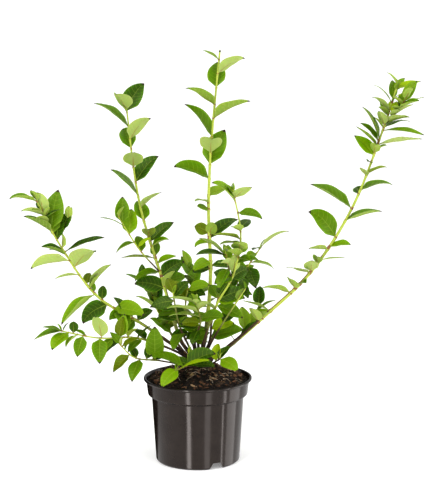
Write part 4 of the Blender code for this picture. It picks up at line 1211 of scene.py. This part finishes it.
# ---------------------------------------------------------------- assembling the plant
def tone_of(node, leaf, rng):
    """The tone that is written for a leaf, or one drawn from the mix of its part of the plant."""
    if leaf.tone:
        return next(tone for tone in TONES if tone.startswith(leaf.tone))
    if node.startswith("heart") or node.startswith("back"):
        mix = TONE_MIX["heart"]
    elif node.startswith("low") or node == "far_left_lower" or node.startswith("front"):
        mix = TONE_MIX["low"]
    elif node == "far_right_tip":
        mix = TONE_MIX["bright"]
    elif node.endswith("_tip"):
        mix = TONE_MIX["tip"]
    else:
        mix = TONE_MIX["upright"]
    names = sorted(mix)
    return rng.choices(names, [mix[name] for name in names])[0]


def bark_share(stem):
    """How far up from its foot a stem has turned to wood, as a share of WOOD_REACH."""
    first = stem.stretches[0]
    if first.node in BARK_SHARES:
        return BARK_SHARES[first.node]
    if first.node.startswith("cane_"):
        return 1.0
    if first.node.startswith("heart"):
        return HEART_BARK
    starts_here = first.start == 0.0 and len(stem.stretches) == 1
    return SIDE_SHOOT_BARK if starts_here else 0.0


def gather_stems(limbs):
    """A stem for each path, with all the limbs that follow it."""
    stems = {}
    for limb in limbs:
        if id(limb.path) in stems:
            stems[id(limb.path)].stretches.append(limb)
        else:
            stems[id(limb.path)] = Stem(limb)
    return list(stems.values())


def grow_fine(plan, stems):
    """Adds the small leaves to the plan. The centre cane ends dry, so it bears none."""
    for number, stem in enumerate(stems):
        last = stem.stretches[-1]
        if last.node.startswith("centre"):
            continue
        rng = random.Random(FINE_SEED + number)
        grow_tuft(plan, last, rng)
        grow_between(plan, last, rng)


def mark_nodes(stems, leaves):
    """Tells each stem where the leaves sit on it."""
    by_node = {}
    for stem in stems:
        for limb in stem.stretches:
            by_node.setdefault(limb.node, []).append(stem)
    for node, leaf in leaves:
        for stem in by_node[node]:
            gaps = [(stem.path.at(s) - leaf.root).length for s in np.arange(0, stem.path.length, 1.0)]
            if min(gaps) < STEM_HOLD[0] * stem.radius(0) + STEM_HOLD[1]:
                stem.nodes.append(float(np.argmin(gaps)))
                break


def build_wood(stems, leaves, nodes):
    """Canes, stems and twigs, a bud above the foot of each leaf, and a dry end to the centre cane."""
    wood = Bundle()
    for number, stem in enumerate(stems):
        stem_tube(wood, stem, bark_share(stem), number * 7.3)
    for number, (_, leaf) in enumerate(leaves):
        turn = math.radians(leaf.heading)
        foot = leaf.root + outward(turn, math.radians(60)) * 1.2
        length = random.Random(number).uniform(*BUD_LENGTH)
        bud(wood, foot, outward(turn, math.radians(leaf.rise + BUD_TURN)), length, length * BUD_SLIM, BUD)
    path = next(stem.path for stem in stems if stem.stretches[0].node == "cane_centre")
    foot = path.length - DRY_TIP_LENGTH
    bud(wood, path.at(foot), path.along(foot), DRY_TIP_LENGTH, DRY_TIP_WIDTH, DRY)
    wood.make("stems", stem_surfaces(), "cane", nodes)


def build_leaves(full, small, nodes):
    """A piece for each tone."""
    bundles = {tone: Bundle() for tone in TONES}
    for grid, leaves, seed, scale in (
        (Blade(VEIN_PAIRS, COLUMNS), full, LEAF_SEED, 1.0),
        (Blade(FINE_VEIN_PAIRS, FINE_COLUMNS), small, FINE_LEAF_SEED, FINE_SCALE),
    ):
        for number, (node, leaf) in enumerate(leaves):
            rng = random.Random(seed + number)
            tone = tone_of(node, leaf, rng)
            bundles[tone].add(grid.verts(leaf, rng, scale), grid.faces, grid.slots)
    for tone, bundle in bundles.items():
        bundle.make(f"leaves_{tone}", leaf_surfaces(tone), "foliage", nodes)


def build_plant():
    plan = lay_out()
    stems = gather_stems(plan.limbs)
    full = list(plan.leaves)
    grow_fine(plan, stems)
    small = plan.leaves[len(full) :]
    mark_nodes(stems, full)
    nodes = sorted(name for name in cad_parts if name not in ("pot", "soil", "crown"))
    build_wood(stems, full, nodes)
    build_leaves(full, small, [name for name in nodes if not name.startswith("cane_")])


def build_crown():
    """The woody foot: a knobbly dome with a flare for each cane that leaves it."""
    bundle = Bundle()
    rows, sides = CROWN_GRID
    verts = []
    for i in range(rows):
        lift = i / (rows - 1) * math.pi / 2
        for turn in turns(sides):
            way = outward(turn, lift)
            knob = noise.noise(way * 2.3) * 2.2 + noise_at(way.x * 9, way.y * 9, way.z * 2) * 1.1
            flare = CROWN_FLARE * (1 - lift / (math.pi / 2)) ** 6
            place = CROWN_CENTRE + way * (CROWN_RADIUS - CROWN_SUNK + knob + flare)
            verts.append(place - Vector((0, 0, 2.0 * math.cos(lift))))
    bundle.add(verts, grid_faces(rows, sides, wrap=True), BARK_OLD)
    for number, shoot in enumerate(SHOOTS):
        way = (Vector(shoot.knees[0]) - CROWN_CENTRE).normalized()
        path = Path([CROWN_CENTRE + way * 6, CROWN_CENTRE + way * (CROWN_RADIUS + 9)])
        radii = shoot.foot_radius * 2.4, shoot.foot_radius * 1.02
        limb = Limb("crown", path, 0.0, path.length, *radii, CANE_SIDES)
        stem_tube(bundle, Stem(limb), CROWN_BARK, number * 11.7, step=1.2)
    bundle.make("crown_bark", stem_surfaces(), "wood", ["crown"])


# ---------------------------------------------------------------- pot and soil
def rounded(profile, radius, steps=4):
    """The same outline with each corner cut by a small arc."""
    points = [Vector(p) for p in profile]
    out = [points[0]]
    for before, corner, after in zip(points, points[1:], points[2:]):
        cut = min(radius, (before - corner).length * 0.4, (after - corner).length * 0.4)
        a = corner + (before - corner).normalized() * cut
        b = corner + (after - corner).normalized() * cut
        for i in range(steps + 1):
            t = i / steps
            out.append(a * (1 - t) ** 2 + corner * 2 * t * (1 - t) + b * t**2)
    out.append(points[-1])
    return out


def pot_profile():
    """(radius, height) up the outside, over the lip and down the inside of the pot."""
    under_lip = POT_HEIGHT - LIP_HEIGHT
    collar_foot = POT_HEIGHT - COLLAR_HEIGHT
    floor_top = FLOOR_RISE + WALL
    ring_inner = BODY_RADIUS_FOOT - FOOT_RING
    return (
        (0.0, 0.0),
        (CENTRE_PAD_RADIUS, 0.0),
        (CENTRE_PAD_RADIUS + 6, FLOOR_RISE),
        (ring_inner - 2, FLOOR_RISE),
        (ring_inner, 0.0),
        (BODY_RADIUS_FOOT - FOOT_BEVEL, 0.0),
        (BODY_RADIUS_FOOT, FOOT_BEVEL),
        (BODY_RADIUS_TOP, collar_foot - COLLAR_STEP),
        (COLLAR_RADIUS_FOOT, collar_foot),
        (COLLAR_RADIUS_TOP, under_lip - 1),
        (LIP_RADIUS, under_lip + 0.6),
        (LIP_RADIUS, POT_HEIGHT - 0.8),
        (LIP_RADIUS - 1, POT_HEIGHT),
        (COLLAR_RADIUS_TOP + 0.4, POT_HEIGHT - 0.6),
        (COLLAR_RADIUS_TOP - WALL, under_lip - 1),
        (COLLAR_RADIUS_FOOT - WALL, collar_foot + 1),
        (BODY_RADIUS_TOP - WALL, collar_foot - COLLAR_STEP + 1),
        (BODY_RADIUS_FOOT - WALL + 0.6, floor_top + 1),
        (BODY_RADIUS_FOOT - WALL - 0.6, floor_top),
        (CENTRE_PAD_RADIUS + 5, floor_top),
        (CENTRE_PAD_RADIUS, WALL),
        (0.0, WALL),
    )


def notch_cutter(number):
    """A trapezoid wedge that runs from inside the foot ring out through its wall."""
    half_foot = NOTCH_WIDTH_FOOT / 2 + 1
    half_top = NOTCH_WIDTH_TOP / 2
    corners = ((-half_foot, -1.5), (half_foot, -1.5), (half_top, FLOOR_RISE), (-half_top, FLOOR_RISE))
    reach = (BODY_RADIUS_FOOT - FOOT_RING - 5, BODY_RADIUS_FOOT + 7)
    ends = [(along, *corner) for along in reach for corner in corners]
    faces = [(3, 2, 1, 0), (4, 5, 6, 7)] + [(k, (k + 1) % 4, (k + 1) % 4 + 4, k + 4) for k in range(4)]
    turn = math.radians(NOTCH_FIRST + 360 / NOTCH_COUNT * number)
    verts = [
        (x * math.cos(turn) - y * math.sin(turn), x * math.sin(turn) + y * math.cos(turn), z)
        for x, y, z in ends
    ]
    mesh = bpy.data.meshes.new(f"notch_cutter_{number + 1}")
    mesh.from_pydata([Vector(v) * MM for v in verts], [], faces)
    return linked(mesh.name, mesh)


def build_pot():
    """The turned pot, finer than its solid, with the same notches cut in its foot ring."""
    outline = rounded(pot_profile(), POT_ROUNDING)
    shape = bmesh.new()
    verts = [shape.verts.new((r * MM, 0, z * MM)) for r, z in outline]
    edges = [shape.edges.new(pair) for pair in zip(verts, verts[1:])]
    bmesh.ops.spin(
        shape,
        geom=verts + edges,
        cent=(0, 0, 0),
        axis=(0, 0, 1),
        angle=2 * math.pi,
        steps=POT_SIDES,
        use_merge=True,
    )
    bmesh.ops.remove_doubles(shape, verts=shape.verts, dist=0.01 * MM)
    bmesh.ops.recalc_face_normals(shape, faces=shape.faces)
    mesh = bpy.data.meshes.new("pot_wall")
    shape.to_mesh(mesh)
    shape.free()
    pot = linked("pot_wall", mesh)
    cutters = [notch_cutter(number) for number in range(NOTCH_COUNT)]
    for cutter in cutters:
        cut = pot.modifiers.new("notch", "BOOLEAN")
        cut.operation = "DIFFERENCE"
        cut.object = cutter
        cut.solver = "EXACT"
    graph = bpy.context.evaluated_depsgraph_get()
    pot.data = bpy.data.meshes.new_from_object(pot.evaluated_get(graph))
    pot.modifiers.clear()
    for cutter in cutters:
        bpy.data.objects.remove(cutter)
    pot.data.materials.clear()
    # The second look is painted shade on the top of the lip: a darker, rougher and less glossy copy of
    # the plastic.
    for look in (
        ("pot_plastic", (0.0165, 0.0115, 0.0095), (0.026, 0.0190, 0.0160), 0.10, 0.18, 0.5),
        ("pot_lip", (0.0060, 0.0045, 0.0040), (0.011, 0.0085, 0.0078), 0.30, 0.42, 0.22),
    ):
        pot.data.materials.append(pot_surface(*look))
    # Faces at the top of the lip take the painted shade.
    for face in pot.data.polygons:
        if face.center.z > (POT_HEIGHT - LIP_HEIGHT * LIP_PAINTED_SHADE) * MM:
            face.material_index = 1
    pot.data.shade_smooth()
    pot.data.set_sharp_from_angle(angle=math.radians(32))
    dress(pot, ["pot"])


def mound_height(radius):
    """The soil's surface at a distance from the pot's axis."""
    rim = POT_HEIGHT - SOIL_RIM_DROP
    wall = soil_reach()
    share = min(max((wall - radius) / (wall - SOIL_TOP_RADIUS), 0.0), 1.0)
    return rim + (SOIL_TOP - rim) * math.sin(share * math.pi / 2)


def soil_noise(x, y, seed, fineness, height):
    return noise.noise(Vector((x, y, seed)) * fineness) * height


def soil_point(x, y):
    lumps = soil_noise(x, y, 0, *SOIL_SWELLS) + soil_noise(x, y, 40, *SOIL_LUMPS)
    grit = soil_noise(x, y, 80, *SOIL_GRIT)
    return Vector((x, y, mound_height(math.hypot(x, y)) - SOIL_SUNK + lumps + grit))


def crumb(rng, size):
    """A rough lump: an icosahedron with uneven corners."""
    shape = bmesh.new()
    bmesh.ops.create_icosphere(shape, subdivisions=1, radius=size)
    verts = np.array([v.co for v in shape.verts])
    faces = np.array([[v.index for v in face.verts] for face in shape.faces])
    shape.free()
    verts = verts * np.array([[rng.uniform(0.65, 1.3)] for _ in verts])
    return verts * np.array(CRUMB_SQUASH), faces


def spun(verts, rng):
    """The same points, turned any way."""
    axis = Vector((rng.gauss(0, 1), rng.gauss(0, 1), rng.gauss(0, 1))).normalized()
    return verts @ np.array(Matrix.Rotation(rng.uniform(0, 2 * math.pi), 3, axis)).T


def chip(rng, length, width, thick):
    """A splinter of bark: a bent slab with torn ends."""
    bend = rng.uniform(-0.25, 0.25) * length
    verts = []
    for t in CHIP_ALONG:
        half = width / 2 * rng.uniform(0.55, 1.1) * (0.55 if abs(t) > 0.4 else 1.0)
        lift = bend * (0.25 - t * t)
        low, high = -thick / 2, thick / 2
        for y, z in ((-half, low), (half, low), (half * 0.8, high), (-half * 0.8, high)):
            verts.append((t * length + rng.uniform(-0.08, 0.08) * length, y, z + lift))
    faces = grid_faces(len(CHIP_ALONG), 4, wrap=True)
    last = (len(CHIP_ALONG) - 1) * 4
    faces += [(2, 1, 0), (3, 2, 0), (last, last + 1, last + 2), (last, last + 2, last + 3)]
    return np.array(verts), np.array(faces)


def spread_point(rng, reach):
    radius = reach * math.sqrt(rng.random())
    turn = rng.uniform(0, 2 * math.pi)
    return radius * math.cos(turn), radius * math.sin(turn)


def soil_reach():
    """Radius that the soil fills, just clear of the pot's wall."""
    return COLLAR_RADIUS_TOP - WALL - 2 * GAP


def build_mound(surfaces):
    """The lumpy peat under everything loose."""
    rows, sides = SOIL_GRID
    verts = []
    for i in range(rows):
        radius = soil_reach() * (1 - i / rows)
        verts += [soil_point(radius * math.cos(turn), radius * math.sin(turn)) for turn in turns(sides)]
    faces = grid_faces(rows, sides, wrap=True)
    last = (rows - 1) * sides
    faces += [(last + k, last + (k + 1) % sides, len(verts)) for k in range(sides)]
    verts.append(soil_point(0, 0))
    mound = Bundle()
    mound.add(verts, faces, PEAT)
    mound.make("soil_mound", surfaces, "soil", ["soil"])


def build_chips(surfaces, rng):
    """Crumbs and bark chips that lie on the peat."""
    loose = Bundle()
    for _ in range(SOIL_CRUMBS):
        x, y = spread_point(rng, soil_reach() - 3)
        size = rng.choice(CRUMB_SIZES) * rng.uniform(0.8, 1.2)
        verts, faces = crumb(rng, size)
        spot = soil_point(x, y) + Vector((0, 0, size * 0.25))
        slot = rng.choices(LOOSE_KINDS, CRUMB_MIX)[0]
        loose.add(spun(verts, rng) + np.array(spot), faces, slot)
    for _ in range(SOIL_CHIPS):
        x, y = spread_point(rng, soil_reach() - 8)
        length = rng.uniform(*CHIP_LENGTH)
        verts, faces = chip(rng, length, length * rng.uniform(0.25, 0.65), rng.uniform(0.8, 2.2))
        tilt_x = Matrix.Rotation(rng.uniform(-0.6, 0.6), 3, "X")
        tilt_y = Matrix.Rotation(rng.uniform(-0.45, 0.45), 3, "Y")
        spin = Matrix.Rotation(rng.uniform(0, 2 * math.pi), 3, "Z")
        turn = np.array(spin @ (tilt_x @ tilt_y))
        spot = soil_point(x, y) + Vector((0, 0, 0.7))
        slot = rng.choices(LOOSE_KINDS, CHIP_MIX)[0]
        loose.add(verts @ turn.T + np.array(spot), faces, slot)
    loose.make("soil_chips", surfaces, "soil", [], sharp=math.radians(28))


def fibre_points(rng):
    """Points of a fibre that curls over the soil and arches clear of it in the middle."""
    x, y = spread_point(rng, soil_reach() - 14)
    heading = rng.uniform(0, 2 * math.pi)
    curl = rng.uniform(-0.45, 0.45)
    step = rng.uniform(2.0, 3.6)
    points = []
    for k in range(FIBRE_KNEES):
        arch = math.sin(k / (FIBRE_KNEES - 1) * math.pi)
        points.append(soil_point(x, y) + Vector((0, 0, 1.3 + 1.4 * arch)))
        heading += curl + rng.uniform(-0.25, 0.25)
        x += step * math.cos(heading)
        y += step * math.sin(heading)
        if math.hypot(x, y) > soil_reach() - 3:
            break
    return points


def build_fibres(surfaces, rng):
    fibres = Bundle()
    for _ in range(SOIL_FIBRES):
        points = fibre_points(rng)
        if len(points) > 2:
            path = Path(points, 4)
            width = rng.uniform(0.18, 0.40)
            limb = Limb("soil", path, 0.0, path.length, width, width * 0.6, FIBRE_SIDES)
            stem_tube(fibres, Stem(limb), 0.0, 1.0, sides=FIBRE_SIDES, step=1.6)
    fibres.parts = [(verts, faces, np.full(len(faces), FIBRE)) for verts, faces, _ in fibres.parts]
    fibres.make("soil_fibres", surfaces, "soil", [])


def build_soil():
    """Damp potting mix: a lumpy mound under loose crumbs, bark chips and curled fibres."""
    surfaces = soil_surfaces()
    rng = random.Random(SOIL_SEED)
    build_mound(surfaces)
    build_chips(surfaces, rng)
    build_fibres(surfaces, rng)


# ---------------------------------------------------------------- studio, in metres
STAGE_FRONT = -6.0
STAGE_BACK = 2.6  # where the floor starts to sweep up
STAGE_HALF = 7.0
STAGE_TOP = 5.0
SWEEP_RADIUS = 1.4
SWEEP_STEPS = 12
STRIP_LOW = -1.2
STRIP_HIGH = 1.9
STRIPS = (
    # name, azimuth from the camera's side in degrees, distance, width, radiance
    ("strip_left", -24, 1.5, 0.25, 5.2),
    ("broad_right", 27, 1.7, 0.42, 1.4),
    ("strip_right", 68, 1.5, 0.12, 3.6),
    ("side_right", 98, 1.8, 1.1, 1.5),
)
KEY_PLACE = (-0.7, -1.0, 2.1)
KEY_AIM = (0, 0, 0.3)
KEY_SIZE = 0.9
KEY_RADIANCE = 4.5
SKY_STRENGTH = 0.72
FLAG_AZIMUTH = -146
FLAG_DISTANCE = 1.4
FLAG_HALF = 0.7
FLAG_LOW = -0.5
FLAG_HIGH = 1.6
CAMERA_PLACE = (0.0342, -2.7, 0.8256)
CAMERA_TILT = 0.1793  # radians below level
CAMERA_LENS = 127.13
SENSOR_HEIGHT = 36.0


def build_stage():
    """A pale floor that sweeps up into a pale wall behind."""
    shape = bmesh.new()
    profile = [(STAGE_FRONT, 0.0), (STAGE_BACK, 0.0)]
    for i in range(1, SWEEP_STEPS + 1):
        turn = math.pi / 2 * i / SWEEP_STEPS
        run = SWEEP_RADIUS * math.sin(turn)
        profile.append((STAGE_BACK + run, SWEEP_RADIUS - SWEEP_RADIUS * math.cos(turn)))
    profile.append((STAGE_BACK + SWEEP_RADIUS, STAGE_TOP))
    rows = [[shape.verts.new((x, y, z)) for x in (-STAGE_HALF, STAGE_HALF)] for y, z in profile]
    for below, above in zip(rows, rows[1:]):
        shape.faces.new((below[0], below[1], above[1], above[0]))
    mesh = bpy.data.meshes.new("studio_floor")
    shape.to_mesh(mesh)
    shape.free()
    mesh.shade_smooth()
    pale = Surface("studio_pale", (0.93, 0.93, 0.93), 0.9, 0.1)
    pale.set("Emission Color", (1.0, 1.0, 1.0, 1.0))
    pale.set("Emission Strength", 0.2)
    pale.bump(pale.noise(60.0), 0.0002)
    mesh.materials.append(pale.material)
    floor = linked("studio_floor", mesh)
    floor.visible_glossy = False


def around(azimuth, distance, height=0.0):
    """A place at an azimuth from the camera's side, in radians."""
    return distance * math.sin(azimuth), -distance * math.cos(azimuth), height


def softbox(name, azimuth, distance, width, radiance):
    """An upright strip of light, seen by the plant only."""
    tall = STRIP_HIGH - STRIP_LOW
    light = bpy.data.lights.new(name, "AREA")
    light.shape = "RECTANGLE"
    light.size = width
    light.size_y = tall
    light.energy = radiance * math.pi * width * tall
    turn = math.radians(azimuth)
    made = linked(name, light)
    made.location = around(turn, distance, (STRIP_LOW + STRIP_HIGH) / 2)
    made.rotation_euler = (math.pi / 2, 0, turn)
    made.visible_camera = False


def overhead(name):
    light = bpy.data.lights.new(name, "AREA")
    light.size = KEY_SIZE
    light.energy = KEY_RADIANCE * math.pi * KEY_SIZE * KEY_SIZE
    made = linked(name, light)
    made.location = KEY_PLACE
    way = Vector(KEY_AIM) - Vector(KEY_PLACE)
    made.rotation_euler = way.to_track_quat("-Z", "Y").to_euler()
    made.visible_camera = False


def build_flag():
    """A black board behind the left edge of the pot, seen in its gloss alone."""
    foot = [(-FLAG_HALF, 0, FLAG_LOW), (FLAG_HALF, 0, FLAG_LOW)]
    top = [(FLAG_HALF, 0, FLAG_HIGH), (-FLAG_HALF, 0, FLAG_HIGH)]
    mesh = bpy.data.meshes.new("studio_flag")
    mesh.from_pydata(foot + top, [], [(0, 1, 2, 3)])
    black = Surface("studio_black", (0.002, 0.002, 0.002), 0.9, 0.0)
    black.bump(black.noise(40.0), 0.0002)
    mesh.materials.append(black.material)
    flag = linked("studio_flag", mesh)
    turn = math.radians(FLAG_AZIMUTH)
    flag.location = around(turn, FLAG_DISTANCE)
    flag.rotation_euler = (0, 0, turn)
    flag.visible_camera = False
    flag.visible_diffuse = False
    flag.visible_transmission = False
    flag.visible_shadow = False


def build_light():
    world = bpy.data.worlds.new("studio_world")
    world.use_nodes = True
    sky = world.node_tree.nodes["Background"]
    sky.inputs["Color"].default_value = (1.0, 1.0, 1.0, 1.0)
    sky.inputs["Strength"].default_value = SKY_STRENGTH
    bpy.context.scene.world = world
    for strip in STRIPS:
        softbox(*strip)
    overhead("key_top")
    bpy.context.scene.view_settings.view_transform = "Standard"
    bpy.context.scene.view_settings.look = "Medium High Contrast"


def build_camera():
    camera = bpy.data.cameras.new("camera")
    camera.sensor_fit = "VERTICAL"
    camera.sensor_height = SENSOR_HEIGHT
    camera.lens = CAMERA_LENS
    made = linked("camera", camera)
    made.location = CAMERA_PLACE
    made.rotation_euler = (math.pi / 2 - CAMERA_TILT, 0.0, 0.0)
    bpy.context.scene.camera = made


build_pot()
build_soil()
build_crown()
build_plant()
build_stage()
build_flag()
build_light()
build_camera()
